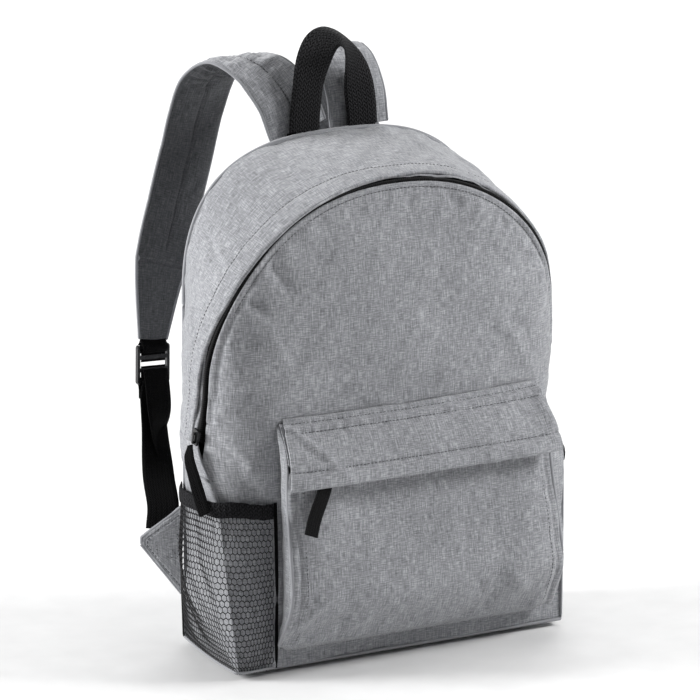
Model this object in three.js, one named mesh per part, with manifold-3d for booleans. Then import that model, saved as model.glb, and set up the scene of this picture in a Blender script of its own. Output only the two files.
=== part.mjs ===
// A small daypack: soft body, bellows front pocket, mesh side pockets, padded shoulder straps.
// Millimetres, +Z up, and the bag's front faces -Y. Every piece is drawn with the back panel's outer
// face at y = 0 and the underside of the base at z = 0. The whole pack is then moved forward of its
// back face, so that the part's origin is the middle of the underside of the base.
import * as THREE from "three";
import { mergeVertices } from "three/addons/utils/BufferGeometryUtils.js";
import Module from "manifold-3d";

const wasm = await Module();
wasm.setup();

// ---------- driving dimensions ----------
const CLOTH = 1.6; // one wall of the bag: face cloth and coating
const GAP = 0.4; // clearance between pieces that lie on each other
const WEBBING_WIDTH = 25;
const WEBBING_THICKNESS = 1.4;

// back panel: straight sides and a square-shouldered arch
const BACK_HALF_WIDTH = 134;
const BACK_SHOULDER_HEIGHT = 270;
const BACK_TOP = 394;
const BACK_SQUARENESS = 2.7;
const FOAM = 5;
const LINING = 1;

// front panel: the main zip runs round it
const ZIP_RADIUS = 156.5;
const ZIP_SHOULDER_HEIGHT = 217;
const ZIP_SQUARENESS = 2.2;
const ZIP_END_HEIGHT = 176;
const ZIP_TOP_Y = -97;
const ZIP_SHOULDER_Y = -72;
const ZIP_END_Y = -62;
const CORNER_POWER = 11;
const FRONT_DOME = 13;
const DOME_START = 60;
const BASE_FRONT_HALF_WIDTH = 145;
const BASE_FRONT_Y = -107;
const CORNER_SEAM_HEIGHT = 137;
const CORNER_SEAM_Y = -92;
const SIDE_BULGE = 7;
const LOWER_SIDE_BULGE = 5;
const CROWN_BULGE = 1.5;
const FLOOR_PLATE = 2;

// front pocket
const POCKET_X = 7; // the pocket sits a little to the right of the middle
const POCKET_HALF_WIDTH = 114;
const POCKET_FACE_HALF_WIDTH = 117;
const POCKET_FACE_BULGE = 6;
const POCKET_TOP = 198;
const POCKET_ZIP_HEIGHT = 163;
const POCKET_BOTTOM = 22;
const POCKET_TOP_Y = -128;
const POCKET_BELLY_Y = -145;
const FLAP_BOTTOM = 150;
const FLAP_HALF_WIDTH = 120;
const FLAP_EDGE_Y = -142;

// mesh side pockets
const MESH_TOP = 117;
const MOUTH_RISE = 10;
const BINDING_HEIGHT = 12;
const MESH_THICKNESS = 1.2;
// The left one stands open and runs round the bag's corner, the right one ends at the corner seam.
const MESH_FRONT_X = 114;
const MESH_SHAPES = {
  left: { bulge: 14, mouth: 5, span: 2, end: 1.95 },
  right: { bulge: 9, mouth: 5, span: 1, end: 0.95 },
};
const EDGE_TAPE_WIDTH = 2.4;

// shoulder straps
const STRAP_WIDTH = 51;
const STRAP_TIP_WIDTH = 27;
const STRAP_PAD = 5;
const BUCKLE_WIDTH = 32;
const BUCKLE_HEIGHT = 31;
const BUCKLE_BAR = 3.2;

// ---------- materials ----------
function cloth(colour) {
  return new THREE.MeshStandardMaterial({ color: colour, roughness: 0.9, metalness: 0 });
}

function plastic(colour) {
  return new THREE.MeshStandardMaterial({ color: colour, roughness: 0.35, metalness: 0 });
}

const greyCloth = () => cloth("#9a9da1");
const darkCloth = () => cloth("#55585c");
const foam = () => cloth("#d8d6cf");
const blackWebbing = () => cloth("#1b1b1d");
const blackMesh = () => cloth("#3a3b3e");
const zipTape = () => cloth("#141416");
const zipMetal = () =>
  new THREE.MeshStandardMaterial({ color: "#202124", roughness: 0.3, metalness: 0.9 });
const buckleBlack = () => plastic("#0e0e10");

const pack = new THREE.Group();

function add(name, geometry, material) {
  const mesh = new THREE.Mesh(geometry, material);
  mesh.name = name;
  pack.add(mesh);
  return mesh;
}

// ---------- geometry helpers ----------
const v3 = (x, y, z) => new THREE.Vector3(x, y, z);
const mix = THREE.MathUtils.lerp;
const smooth = THREE.MathUtils.smoothstep;

function signedVolume(geometry) {
  const p = geometry.getAttribute("position");
  const index = geometry.index;
  let sum = 0;
  for (let i = 0; i < index.count; i += 3) {
    const [a, b, c] = [0, 1, 2].map((k) => v3().fromBufferAttribute(p, index.getX(i + k)));
    sum += a.dot(b.cross(c));
  }
  return sum / 6;
}

// A block whose unit cube is bent to any shape: place(u, v, w) gives the point for u, v, w in 0..1.
function bentBlock(across, along, deep, place) {
  const block = new THREE.BoxGeometry(1, 1, 1, across, along, deep);
  block.deleteAttribute("normal");
  block.deleteAttribute("uv");
  const geometry = mergeVertices(block, 1e-5);
  const p = geometry.getAttribute("position");
  for (let i = 0; i < p.count; i += 1) {
    const at = place(p.getX(i) + 0.5, p.getY(i) + 0.5, p.getZ(i) + 0.5);
    p.setXYZ(i, at.x, at.y, at.z);
  }
  if (signedVolume(geometry) < 0) {
    geometry.index.array.reverse();
  }
  return geometry;
}

// The unit normal of surface(u, v), pointing the way that "outside" does.
function normalOf(surface, u, v, outside, step = 0.01) {
  const alongU = surface(u + step, v).sub(surface(u - step, v));
  const alongV = surface(u, v + step).sub(surface(u, v - step));
  const normal = alongU.cross(alongV).normalize();
  return normal.dot(outside) < 0 ? normal.negate() : normal;
}

// A sheet of cloth on a surface: from (u0, v0) to (u1, v1), between two depths below the surface.
function sheet(surface, outside, [u0, u1], [v0, v1], [top, bottom], across, along) {
  return bentBlock(across, along, 1, (a, b, c) => {
    const u = mix(u0, u1, a);
    const v = mix(v0, v1, b);
    const point = surface(u, v);
    const normal = normalOf(surface, u, v, outside(point));
    return point.addScaledVector(normal, -mix(top, bottom, c));
  });
}

// A flat band that follows a curve; side(t) is the direction of its width, width(t) its width.
function band(curve, side, width, [low, high], across, along, [t0, t1] = [0, 1]) {
  return bentBlock(across, along, 1, (a, b, c) => {
    const t = mix(t0, t1, b);
    const tangent = curve.getTangentAt(t);
    const wide = side(t);
    wide.addScaledVector(tangent, -wide.dot(tangent)).normalize();
    const face = v3().crossVectors(tangent, wide);
    return curve
      .getPointAt(t)
      .addScaledVector(wide, (a - 0.5) * width(t))
      .addScaledVector(face, mix(low, high, c));
  });
}

function solid(geometry) {
  const bare = geometry.clone();
  bare.deleteAttribute("normal");
  bare.deleteAttribute("uv");
  const merged = mergeVertices(bare, 1e-4);
  return new wasm.Manifold(
    new wasm.Mesh({
      numProp: 3,
      vertProperties: merged.getAttribute("position").array,
      triVerts: new Uint32Array(merged.index.array),
    }),
  );
}

function geometryOf(manifold) {
  const mesh = manifold.getMesh();
  const geometry = new THREE.BufferGeometry();
  geometry.setAttribute("position", new THREE.BufferAttribute(mesh.vertProperties, 3));
  geometry.setIndex(new THREE.BufferAttribute(mesh.triVerts, 1));
  return geometry;
}

const mirrorX = (point) => v3(-point.x, point.y, point.z);

// ---------- the body's surfaces ----------
// Half width of the front seam at a height below the zip's shoulder.
function frontHalfWidth(z) {
  const up = Math.min(z / ZIP_SHOULDER_HEIGHT, 1);
  return mix(BASE_FRONT_HALF_WIDTH, ZIP_RADIUS, Math.sin((Math.PI / 2) * up));
}

// Where the front panel meets the side: base corner, up the corner seam, back to the zip end.
function seamY(z) {
  if (z < CORNER_SEAM_HEIGHT) {
    return mix(BASE_FRONT_Y, CORNER_SEAM_Y, z / CORNER_SEAM_HEIGHT);
  }
  if (z < ZIP_END_HEIGHT) {
    return mix(CORNER_SEAM_Y, ZIP_END_Y, (z - CORNER_SEAM_HEIGHT) / (ZIP_END_HEIGHT - CORNER_SEAM_HEIGHT));
  }
  const up = (z - ZIP_END_HEIGHT) / (ZIP_SHOULDER_HEIGHT - ZIP_END_HEIGHT);
  return mix(ZIP_END_Y, ZIP_SHOULDER_Y, Math.min(up, 1));
}

// Front panel below the fold: u runs from the left seam (-1) to the right seam (1), v is the height.
function lowerFront(u, z) {
  const lean = Math.sin((Math.PI / 2) * (z / ZIP_SHOULDER_HEIGHT));
  const dome = FRONT_DOME * u ** 2 * smooth(z, DOME_START, ZIP_SHOULDER_HEIGHT);
  const middle = mix(BASE_FRONT_Y, ZIP_TOP_Y - FRONT_DOME, lean) + dome;
  const corner = Math.abs(u) ** CORNER_POWER;
  return v3(u * frontHalfWidth(z), mix(middle, seamY(z), corner), z);
}

// The depth of the lower front panel at a place across and up it.
function frontY(x, z) {
  return lowerFront(x / frontHalfWidth(z), z).y;
}

// Front panel above the fold: radius 0 at the middle of the fold, 1 at the zip; angle 0 to pi over the top.
function upperFront(radius, angle) {
  const power = 2 / ZIP_SQUARENESS;
  const x = radius * ZIP_RADIUS * Math.sign(Math.cos(angle)) * Math.abs(Math.cos(angle)) ** power;
  const rise = radius * ZIP_RADIUS * Math.max(Math.sin(angle), 0) ** power;
  const corner = Math.min(Math.abs(x) / ZIP_RADIUS, 1) ** CORNER_POWER;
  const dome = FRONT_DOME * (1 - radius ** 2) * (1 - corner);
  const y = mix(ZIP_TOP_Y, ZIP_SHOULDER_Y, corner) - dome;
  return v3(x, y, ZIP_SHOULDER_HEIGHT + rise);
}

// The main zip's line, from its left end over the arch to its right end.
class ZipLine extends THREE.Curve {
  getPoint(t) {
    const leg = (ZIP_SHOULDER_HEIGHT - ZIP_END_HEIGHT) / ZIP_RADIUS;
    const swing = (2 * t - 1) * (Math.PI / 2 + leg);
    if (Math.abs(swing) <= Math.PI / 2) {
      return upperFront(1, Math.PI / 2 - swing);
    }
    const z = ZIP_SHOULDER_HEIGHT - (Math.abs(swing) - Math.PI / 2) * ZIP_RADIUS;
    return v3(Math.sign(swing) * ZIP_RADIUS, seamY(z), z);
  }
}

// The seam between back panel and gusset over the same stretch.
class BackLine extends THREE.Curve {
  getPoint(t) {
    const rise = BACK_TOP - BACK_SHOULDER_HEIGHT;
    const leg = (BACK_SHOULDER_HEIGHT - ZIP_END_HEIGHT) / rise;
    const swing = (2 * t - 1) * (Math.PI / 2 + leg);
    const power = 2 / BACK_SQUARENESS;
    const turn = Math.min(Math.abs(swing), Math.PI / 2);
    const x = Math.sign(swing) * BACK_HALF_WIDTH * Math.sin(turn) ** power;
    const down = (Math.abs(swing) - turn) * rise;
    return v3(x, 0, BACK_SHOULDER_HEIGHT + rise * Math.max(Math.cos(turn), 0) ** power - down);
  }
}

const zipLine = new ZipLine();
const backLine = new BackLine();
zipLine.arcLengthDivisions = 800;
backLine.arcLengthDivisions = 800;

const BACK_WALL = CLOTH + GAP;
// How far the gusset swells between its seams: t along the arch, s from back seam 0 to zip 1.
function gusset(s, t) {
  const along = THREE.MathUtils.clamp(t, 0, 1);
  const back = backLine.getPointAt(along).setY(-BACK_WALL);
  const front = zipLine.getPointAt(along);
  const point = back.lerp(front, s);
  const sideways = Math.abs(2 * along - 1);
  const most = mix(CROWN_BULGE, SIDE_BULGE, smooth(sideways, 0.2, 0.8));
  const bulge = most * Math.sin(Math.PI * THREE.MathUtils.clamp(s, 0, 1));
  const outward = v3(point.x, 0, Math.max(point.z - ZIP_SHOULDER_HEIGHT, 0)).normalize();
  point.addScaledVector(outward, bulge);
  if (t !== along) {
    point.z -= (t < 0 ? -t : t - 1) * 900;
  }
  return point;
}

// Lower side wall on the left: s from the back seam 0 to the corner seam 1, z the height.
function leftSide(s, z) {
  const x = mix(BACK_HALF_WIDTH, frontHalfWidth(z), s);
  const swell = mix(LOWER_SIDE_BULGE, SIDE_BULGE + 2, smooth(z, 0, ZIP_END_HEIGHT));
  const bulge = swell * Math.sin(Math.PI * THREE.MathUtils.clamp(s, 0, 1)) * smooth(z, -40, 60);
  return v3(-x - bulge, mix(-BACK_WALL, seamY(z), s), z);
}

const WALL_BOTTOM = FLOOR_PLATE + GAP;
const outFront = () => v3(0, -1, 0);
const outLeft = () => v3(-1, 0, 0);
const outRadial = (point) => v3(point.x, 0, Math.max(point.z - ZIP_SHOULDER_HEIGHT, 0) + 1e-6);

function backOutline(inset, bottom) {
  const shape = new THREE.Shape();
  const steps = 28;
  const half = BACK_HALF_WIDTH - inset;
  shape.moveTo(-half, bottom);
  shape.lineTo(half, bottom);
  for (let i = 0; i <= steps; i += 1) {
    const turn = (Math.PI * i) / steps;
    const power = 2 / BACK_SQUARENESS;
    const x = half * Math.sign(Math.cos(turn)) * Math.abs(Math.cos(turn)) ** power;
    const z = BACK_SHOULDER_HEIGHT + (BACK_TOP - inset - BACK_SHOULDER_HEIGHT) * Math.sin(turn) ** power;
    shape.lineTo(x, z);
  }
  return shape;
}

// A plate parallel to the back panel: outline in X and Z, from depth "from" to depth "to" behind y = 0.
function backPlate(inset, bottom, from, to) {
  const settings = { depth: to - from, bevelEnabled: false };
  const plate = new THREE.ExtrudeGeometry(backOutline(inset, bottom), settings);
  plate.rotateX(Math.PI / 2);
  plate.translate(0, -from, 0);
  return plate;
}

function makeBody() {
  add("back_panel", backPlate(0, WALL_BOTTOM, 0, CLOTH), greyCloth());
  const foamFrom = CLOTH + GAP;
  add("back_foam", backPlate(6, WALL_BOTTOM + 4, foamFrom, foamFrom + FOAM), foam());
  const liningFrom = foamFrom + FOAM + GAP;
  add("back_lining", backPlate(7, WALL_BOTTOM + 4, liningFrom, liningFrom + LINING), darkCloth());

  const floor = new THREE.Shape();
  floor.moveTo(-BACK_HALF_WIDTH, 0);
  floor.lineTo(BACK_HALF_WIDTH, 0);
  floor.lineTo(BASE_FRONT_HALF_WIDTH, BASE_FRONT_Y);
  floor.lineTo(-BASE_FRONT_HALF_WIDTH, BASE_FRONT_Y);
  const plate = new THREE.ExtrudeGeometry(floor, { depth: FLOOR_PLATE, bevelEnabled: false });
  add("bottom_panel", plate, darkCloth());

  const lowerRange = [WALL_BOTTOM, ZIP_SHOULDER_HEIGHT - GAP / 2];
  const lower = sheet(lowerFront, outFront, [-0.985, 0.985], lowerRange, [0, CLOTH], 20, 9);
  add("front_panel_lower", lower, greyCloth());
  const sideRange = [WALL_BOTTOM, ZIP_END_HEIGHT - GAP];
  const side = sheet(leftSide, outLeft, [0, 0.985], sideRange, [0, CLOTH], 6, 8);
  add("side_panel_left", side, greyCloth());
  const rightSide = (s, z) => mirrorX(leftSide(s, z));
  const otherSide = sheet(rightSide, () => v3(1, 0, 0), [0, 0.985], sideRange, [0, CLOTH], 6, 8);
  add("side_panel_right", otherSide, greyCloth());
  add("gusset_band", sheet(gusset, outRadial, [0.012, 0.95], [0, 1], [0, CLOTH], 4, 44), greyCloth());
}

// ---------- main zip ----------
const FOLD_Z = ZIP_SHOULDER_HEIGHT;
const foldOnGusset = findFold();

// The place along the arch, 0 to 0.5, where the zip line climbs past the fold.
function findFold() {
  let low = 0;
  let high = 0.5;
  for (let i = 0; i < 40; i += 1) {
    const middle = (low + high) / 2;
    if (zipLine.getPointAt(middle).z < FOLD_Z) {
      low = middle;
    } else {
      high = middle;
    }
  }
  return low;
}

// The outward normal of the upper front panel.
function frontNormal(radius, angle) {
  return radius < 0.05 ? v3(0, -1, 0) : normalOf(upperFront, radius, angle, v3(0, -1, 0), 0.004);
}

// A square-cornered grid laid over the arch-shaped panel, so that no edge shrinks to a point.
function archPanel(radius, top, bottom, across, along) {
  return bentBlock(across, along, 1, (a, b, c) => {
    const sideways = Math.abs(2 * a - 1);
    const reach = Math.max(sideways, b);
    const quarter = Math.PI / 4;
    let angle = Math.PI / 2;
    if (reach > 0) {
      angle = sideways >= b ? quarter * (b / sideways) : 2 * quarter - quarter * (sideways / b);
    }
    const turned = a >= 0.5 ? angle : Math.PI - angle;
    const point = upperFront(reach * radius, turned);
    const raised = point.addScaledVector(frontNormal(reach * radius, turned), -mix(top, bottom, c));
    raised.z = Math.max(raised.z, FOLD_Z) + GAP / 2;
    return raised;
  });
}

// A strip beside the zip on the upper front panel, between two radii and two depths.
function frontStrip(inner, outer, top, bottom, along) {
  return bentBlock(1, along, 1, (a, b, c) => {
    const angle = Math.PI * (1 - b);
    const radius = mix(inner, outer, a);
    const depth = mix(top, bottom, c);
    const point = upperFront(radius, angle).addScaledVector(frontNormal(radius, angle), -depth);
    point.z += GAP;
    return point;
  });
}

function makeMainZip() {
  add("front_panel_upper", archPanel(0.985, 0, CLOTH, 16, 12), greyCloth());
  add("zip_tape_front", frontStrip(0.93, 0.972, 3.8, 4.8, 44), zipTape());
  const gussetTape = sheet(gusset, outRadial, [0.8, 0.93], [0.002, 0.998], [2.1, 3.1], 1, 36);
  add("zip_tape_gusset", gussetTape, zipTape());
  const hem = sheet(gusset, outRadial, [0.66, 0.915], [0.004, 0.996], [-2, -0.5], 2, 44);
  add("storm_flap", hem, greyCloth());
  const ends = { left: 1, right: -1 };
  for (const [name, way] of Object.entries(ends)) {
    const turn = (point) => v3(point.x * way, point.y, point.z);
    const surface = (u, z) => turn(lowerFront(u, z));
    const range = [ZIP_END_HEIGHT + 1, FOLD_Z - 3];
    const strip = sheet(surface, () => v3(-way, -0.4, 0), [-0.98, -0.95], range, [4.4, 5.4], 1, 4);
    add(`zip_end_${name}`, strip, zipTape());
  }
}

// ---------- sliders and pulls ----------
// A slider lies in its own frame: x across the zip, y along it, z away from the cloth.
function sliderGeometry(width, length) {
  const half = width / 2;
  const shape = new THREE.Shape();
  shape.moveTo(-half * 0.55, -length / 2);
  shape.lineTo(half * 0.55, -length / 2);
  shape.quadraticCurveTo(half, 0, half, length / 2 - 1);
  shape.lineTo(half - 1, length / 2);
  shape.lineTo(-half + 1, length / 2);
  shape.lineTo(-half, length / 2 - 1);
  shape.quadraticCurveTo(-half, 0, -half * 0.55, -length / 2);
  const body = new THREE.ExtrudeGeometry(shape, { depth: 1.8, bevelEnabled: false, curveSegments: 4 });
  const bail = new THREE.Shape();
  bail.moveTo(-length * 0.38, 0);
  bail.lineTo(-length * 0.38, 2.6);
  bail.lineTo(length * 0.32, 2.6);
  bail.lineTo(length * 0.32, 0);
  const eye = new THREE.Path();
  eye.moveTo(-length * 0.26, 0.9);
  eye.lineTo(length * 0.2, 0.9);
  eye.lineTo(length * 0.2, 1.7);
  eye.lineTo(-length * 0.26, 1.7);
  bail.holes.push(eye);
  const bridge = new THREE.ExtrudeGeometry(bail, { depth: 1.6, bevelEnabled: false });
  bridge.rotateX(Math.PI / 2);
  bridge.rotateZ(Math.PI / 2);
  bridge.translate(-0.8, 0, 1.6);
  return geometryOf(solid(body).add(solid(bridge)));
}

// A folded tape pull hanging from the top at the origin: x across, -y down, z away from the cloth.
function pullGeometry(width, length) {
  const shape = new THREE.Shape();
  const half = width / 2;
  shape.moveTo(-half * 0.6, 0);
  shape.lineTo(-half, -length * 0.12);
  shape.lineTo(-half, -length + 1.5);
  shape.quadraticCurveTo(-half, -length, -half + 1.5, -length);
  shape.lineTo(half - 1.5, -length);
  shape.quadraticCurveTo(half, -length, half, -length + 1.5);
  shape.lineTo(half, -length * 0.12);
  shape.lineTo(half * 0.6, 0);
  return new THREE.ExtrudeGeometry(shape, { depth: 1.6, bevelEnabled: false, curveSegments: 3 });
}

// Turns a piece's own x, y, z axes to the given directions and moves it to a place.
function seat(mesh, xAxis, yAxis, zAxis, place) {
  mesh.applyMatrix4(new THREE.Matrix4().makeBasis(xAxis, yAxis, zAxis).setPosition(place));
}

function makeSliders() {
  const start = v3(-ZIP_RADIUS, seamY(ZIP_END_HEIGHT + 6), ZIP_END_HEIGHT + 6);
  const up = v3(0, ZIP_SHOULDER_Y - ZIP_END_Y, ZIP_SHOULDER_HEIGHT - ZIP_END_HEIGHT).normalize();
  const out = v3(-1, 0, 0);
  const across = v3().crossVectors(up, out);
  const mainSlider = add("main_zip_slider", sliderGeometry(9, 13), zipMetal());
  seat(mainSlider, across, up, out, start.clone().addScaledVector(out, 1));
  const mainPull = add("main_zip_pull", pullGeometry(9, 46), blackWebbing());
  const hang = v3(0.09, 0.36, 1).normalize();
  const wide = v3().crossVectors(hang, out).normalize();
  seat(mainPull, wide, hang, v3().crossVectors(wide, hang), start.clone().add(v3(-3.4, 0, -7.5)));

  const pocketSlider = add("pocket_zip_slider", sliderGeometry(9, 12), zipMetal());
  const left = v3(-1, 0, 0);
  const front = v3(0, -1, 0);
  const place = v3(POCKET_X - 88, pocketFace(0, POCKET_ZIP_HEIGHT).y - 0.9, POCKET_ZIP_HEIGHT);
  seat(pocketSlider, v3().crossVectors(left, front), left, front, place);
  const pocketPull = add("pocket_zip_pull", pullGeometry(12, 48), blackWebbing());
  const down = v3(0.25, 0.13, 1).normalize();
  const pullOut = v3(0, -1, -0.1).normalize();
  const pullWide = v3().crossVectors(down, pullOut).normalize();
  const pullFace = v3().crossVectors(pullWide, down);
  seat(pocketPull, pullWide, down, pullFace, v3(POCKET_X - 89, place.y - 6.2, POCKET_ZIP_HEIGHT - 5));
}

// ---------- front pocket ----------
// The pocket's face: u across from -1 to 1, z up from the bottom hem to the zip.
function pocketFace(u, z) {
  const up = THREE.MathUtils.clamp((z - POCKET_BOTTOM) / (POCKET_ZIP_HEIGHT - POCKET_BOTTOM), -0.05, 1.05);
  const belly = Math.sin(Math.PI * Math.min(up / 0.36, 1) * 0.5);
  const lean = mix(POCKET_BELLY_Y, POCKET_TOP_Y, smooth(up, 0.16, 1));
  const half = POCKET_FACE_HALF_WIDTH + POCKET_FACE_BULGE * (1 - up);
  const edge = Math.abs(u) ** 8;
  return v3(u * half + POCKET_X, mix(-126, lean, belly) + 7 * edge, z);
}

// The cloth above the pocket's zip, from the zip up to the seam on the front panel.
function pocketBrow(u, z) {
  const up = (z - POCKET_ZIP_HEIGHT) / (POCKET_TOP - POCKET_ZIP_HEIGHT);
  const x = u * 113 + POCKET_X;
  const top = frontY(x, POCKET_TOP) - GAP - CLOTH;
  return v3(x, mix(POCKET_TOP_Y, top, Math.max(up, 0) ** 1.5), z);
}

// The storm flap over the pocket's zip, from its free lower edge up to the same seam.
function pocketFlap(u, z) {
  const up = (z - FLAP_BOTTOM) / (POCKET_TOP - FLAP_BOTTOM);
  const x = u * mix(FLAP_HALF_WIDTH, 117, up) + POCKET_X;
  const top = frontY(x, POCKET_TOP) - 2 * (GAP + CLOTH) - 1.1;
  const edge = 4 * Math.abs(u) ** 6;
  return v3(x, mix(FLAP_EDGE_Y + edge, top, Math.max(up, 0) ** 1.6), z);
}

// A pocket side wall from the front panel to the edge of the pocket's face; way is -1 on the left.
function pocketSide(way, s, z) {
  const x = way * POCKET_HALF_WIDTH + POCKET_X;
  const behind = v3(x, frontY(x, z) - GAP, z);
  const ahead = z < POCKET_ZIP_HEIGHT ? pocketFace(way, z) : pocketBrow(way, z).add(v3(way * 2.5, 3, 0));
  return behind.lerp(ahead.add(v3(0, 3.2, 0)), s);
}

function makePocket() {
  const wide = [-1, 1];
  const walls = [0, CLOTH];
  const faceRange = [POCKET_BOTTOM, POCKET_ZIP_HEIGHT - 3];
  const browRange = [POCKET_ZIP_HEIGHT + 3, POCKET_TOP - 2];
  const flapRange = [FLAP_BOTTOM, POCKET_TOP + 2];
  add("pocket_panel", sheet(pocketFace, outFront, wide, faceRange, walls, 14, 10), greyCloth());
  add("pocket_brow", sheet(pocketBrow, outFront, wide, browRange, walls, 8, 4), greyCloth());
  add("pocket_flap", sheet(pocketFlap, outFront, wide, flapRange, walls, 12, 6), greyCloth());
  const lowRange = [POCKET_ZIP_HEIGHT - 10, POCKET_ZIP_HEIGHT - 0.3];
  const lowTape = sheet(pocketFace, outFront, [-0.92, 0.92], lowRange, [2.4, 3.4], 1, 2);
  add("pocket_zip_tape_lower", lowTape, zipTape());
  const highRange = [POCKET_ZIP_HEIGHT + 0.3, POCKET_ZIP_HEIGHT + 10];
  const highTape = sheet(pocketBrow, outFront, [-0.95, 0.95], highRange, [2.1, 3.1], 1, 2);
  add("pocket_zip_tape_upper", highTape, zipTape());
  const sideRange = [POCKET_BOTTOM - 4, POCKET_TOP - 3];
  for (const [name, way] of Object.entries({ left: -1, right: 1 })) {
    const wall = (s, z) => pocketSide(way, s, z);
    const side = sheet(wall, () => v3(way, 0, 0), [0, 0.88], sideRange, [0, CLOTH], 2, 10);
    add(`pocket_side_${name}`, side, greyCloth());
  }
  const bottom = bentBlock(8, 3, 1, (a, b, c) => {
    const u = mix(-1, 1, a);
    const z = mix(POCKET_BOTTOM - 6, POCKET_BOTTOM - 1.5, b) + mix(0, CLOTH, c);
    const behind = BASE_FRONT_Y - 2.2;
    return v3(u * mix(109, 114, b) + POCKET_X, mix(behind, -124 + 5 * Math.abs(u) ** 8, b), z);
  });
  add("pocket_bottom", bottom, darkCloth());
}

// ---------- mesh side pockets ----------
// The body's wall on the left: q from the back seam 0 round the corner 1 to the mesh's front edge 2.
function leftWall(q, z) {
  if (q <= 1) {
    return leftSide(q, z);
  }
  const half = frontHalfWidth(z);
  return lowerFront(-mix(1, MESH_FRONT_X / half, q - 1), z);
}

// The mouth climbs from the back seam to the bag's corner and drops a little on the front.
function mouthHeight(q) {
  return MESH_TOP + MOUTH_RISE * (q < 1 ? smooth(q, 0, 1) : mix(1, 0.45, q - 1));
}

// The mesh stands off the wall: held at its seams and floor, full in the middle, drawn in at the mouth.
function meshWall(q, z, shape, extra) {
  const at = THREE.MathUtils.clamp(q, 0, 2);
  const wall = leftWall(at, z);
  const before = leftWall(Math.max(at - 0.3, 0), z);
  const after = leftWall(Math.min(at + 0.3, 2), z);
  const along = after.sub(before);
  const outward = v3(along.y, -along.x, 0).normalize();
  const flare = Math.max(Math.sin((Math.PI * at) / shape.span), 0) ** 0.8;
  const up = z / (mouthHeight(at) + BINDING_HEIGHT);
  const belly = shape.bulge * Math.sin(Math.PI * Math.min(up, 1)) ** 0.7;
  const fill = mix(belly, shape.mouth, smooth(up, 0.55, 1)) * (at > 1 ? mix(1, 0.35, at - 1) : 1);
  const stand = 0.9 + MESH_THICKNESS + fill * flare + extra;
  return wall.addScaledVector(outward, stand);
}

function makeMeshPockets() {
  const ways = { left: 1, right: -1 };
  for (const [name, way] of Object.entries(ways)) {
    const shape = MESH_SHAPES[name];
    const turn = (point) => v3(point.x * way, point.y, point.z);
    const layer = (q, z, low, high, part) => turn(meshWall(q, z, shape, mix(low, high, part)));
    const span = [0.03, shape.end];
    const mesh = bentBlock(16, 7, 1, (a, b, c) => {
      const q = mix(...span, a);
      return layer(q, mix(WALL_BOTTOM, mouthHeight(q) - GAP, b), -MESH_THICKNESS, 0, c);
    });
    add(`mesh_pocket_${name}`, mesh, blackMesh());
    const binding = bentBlock(16, 1, 1, (a, b, c) => {
      const q = mix(...span, a);
      return layer(q, mouthHeight(q) + BINDING_HEIGHT * b, -MESH_THICKNESS, 0.6, c);
    });
    add(`mesh_binding_${name}`, binding, blackWebbing());
    const tape = bentBlock(1, 6, 1, (a, b, c) => {
      const z = mix(WALL_BOTTOM, mouthHeight(shape.end) + BINDING_HEIGHT, b);
      const stand = mix(0.5, 2, c);
      if (shape.end < 1) {
        return turn(leftSide(mix(0.964, 0.984, a), z).add(v3(-stand, 0, 0)));
      }
      const x = -mix(MESH_FRONT_X - 0.6, MESH_FRONT_X - EDGE_TAPE_WIDTH, a);
      return turn(v3(x, frontY(x, z) - stand, z));
    });
    add(`mesh_edge_tape_${name}`, tape, blackWebbing());
  }
}

// ---------- haul loop ----------
function makeHaulLoop() {
  const root = BACK_TOP + 1;
  const half = [v3(-26, 0.4, root), v3(-25, 0.4, root + 16), v3(-19, 1, root + 50), v3(-9, 2, root + 69)];
  const other = half.map(mirrorX).reverse();
  const points = [...half, v3(0, 2.5, root + 73), ...other];
  const route = new THREE.CatmullRomCurve3(points, false, "centripetal");
  const turn = (t) => Math.PI * smooth(t, 0.12, 0.88);
  const side = (t) => v3(Math.cos(turn(t)), Math.sin(turn(t)), 0);
  const low = -WEBBING_THICKNESS / 2;
  const loop = band(route, side, () => WEBBING_WIDTH, [low, -low], 2, 30);
  const p = loop.getAttribute("position");
  for (let i = 0; i < p.count; i += 1) {
    p.setZ(i, Math.max(p.getZ(i), root));
  }
  add("haul_loop", loop, blackWebbing());
}

// ---------- shoulder straps ----------
// Both routes are drawn on the left. The left strap arches outwards, the right one straight back.
const STRAP_ROUTES = {
  left: [
    [-27, 6.5, 393], [-36, 13, 420], [-49, 30, 441], [-61, 52, 445], [-70, 73, 429],
    [-76, 84, 399], [-82, 87, 370], [-99, 80, 325], [-116, 70, 281], [-126, 65, 226],
  ],
  right: [
    [-27, 6.5, 393], [-27, 13, 420], [-27, 30, 441], [-29, 52, 445], [-36, 73, 430],
    [-47, 84, 401], [-60, 87, 370], [-87, 80, 325], [-111, 70, 281], [-126, 65, 226],
  ],
};
const WEBBING_ROUTE = [[-129, 60.5, 186], [-133, 50, 158], [-140, 31, 124], [-146, 13, 105]];
const ROOT_PART = 0.09;
const TIP_PART = 0.815;
const TAB_FACE = v3(-0.84, 0.54, 0).normalize();

function sideways(t) {
  return v3(1, mix(0, 0.18, smooth(t, 0.2, 0.7)), 0).normalize();
}

function strapWidth(t) {
  const taper = THREE.MathUtils.clamp((t - TIP_PART) / (1 - TIP_PART), 0, 1);
  return mix(STRAP_WIDTH, STRAP_TIP_WIDTH, taper);
}

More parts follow.
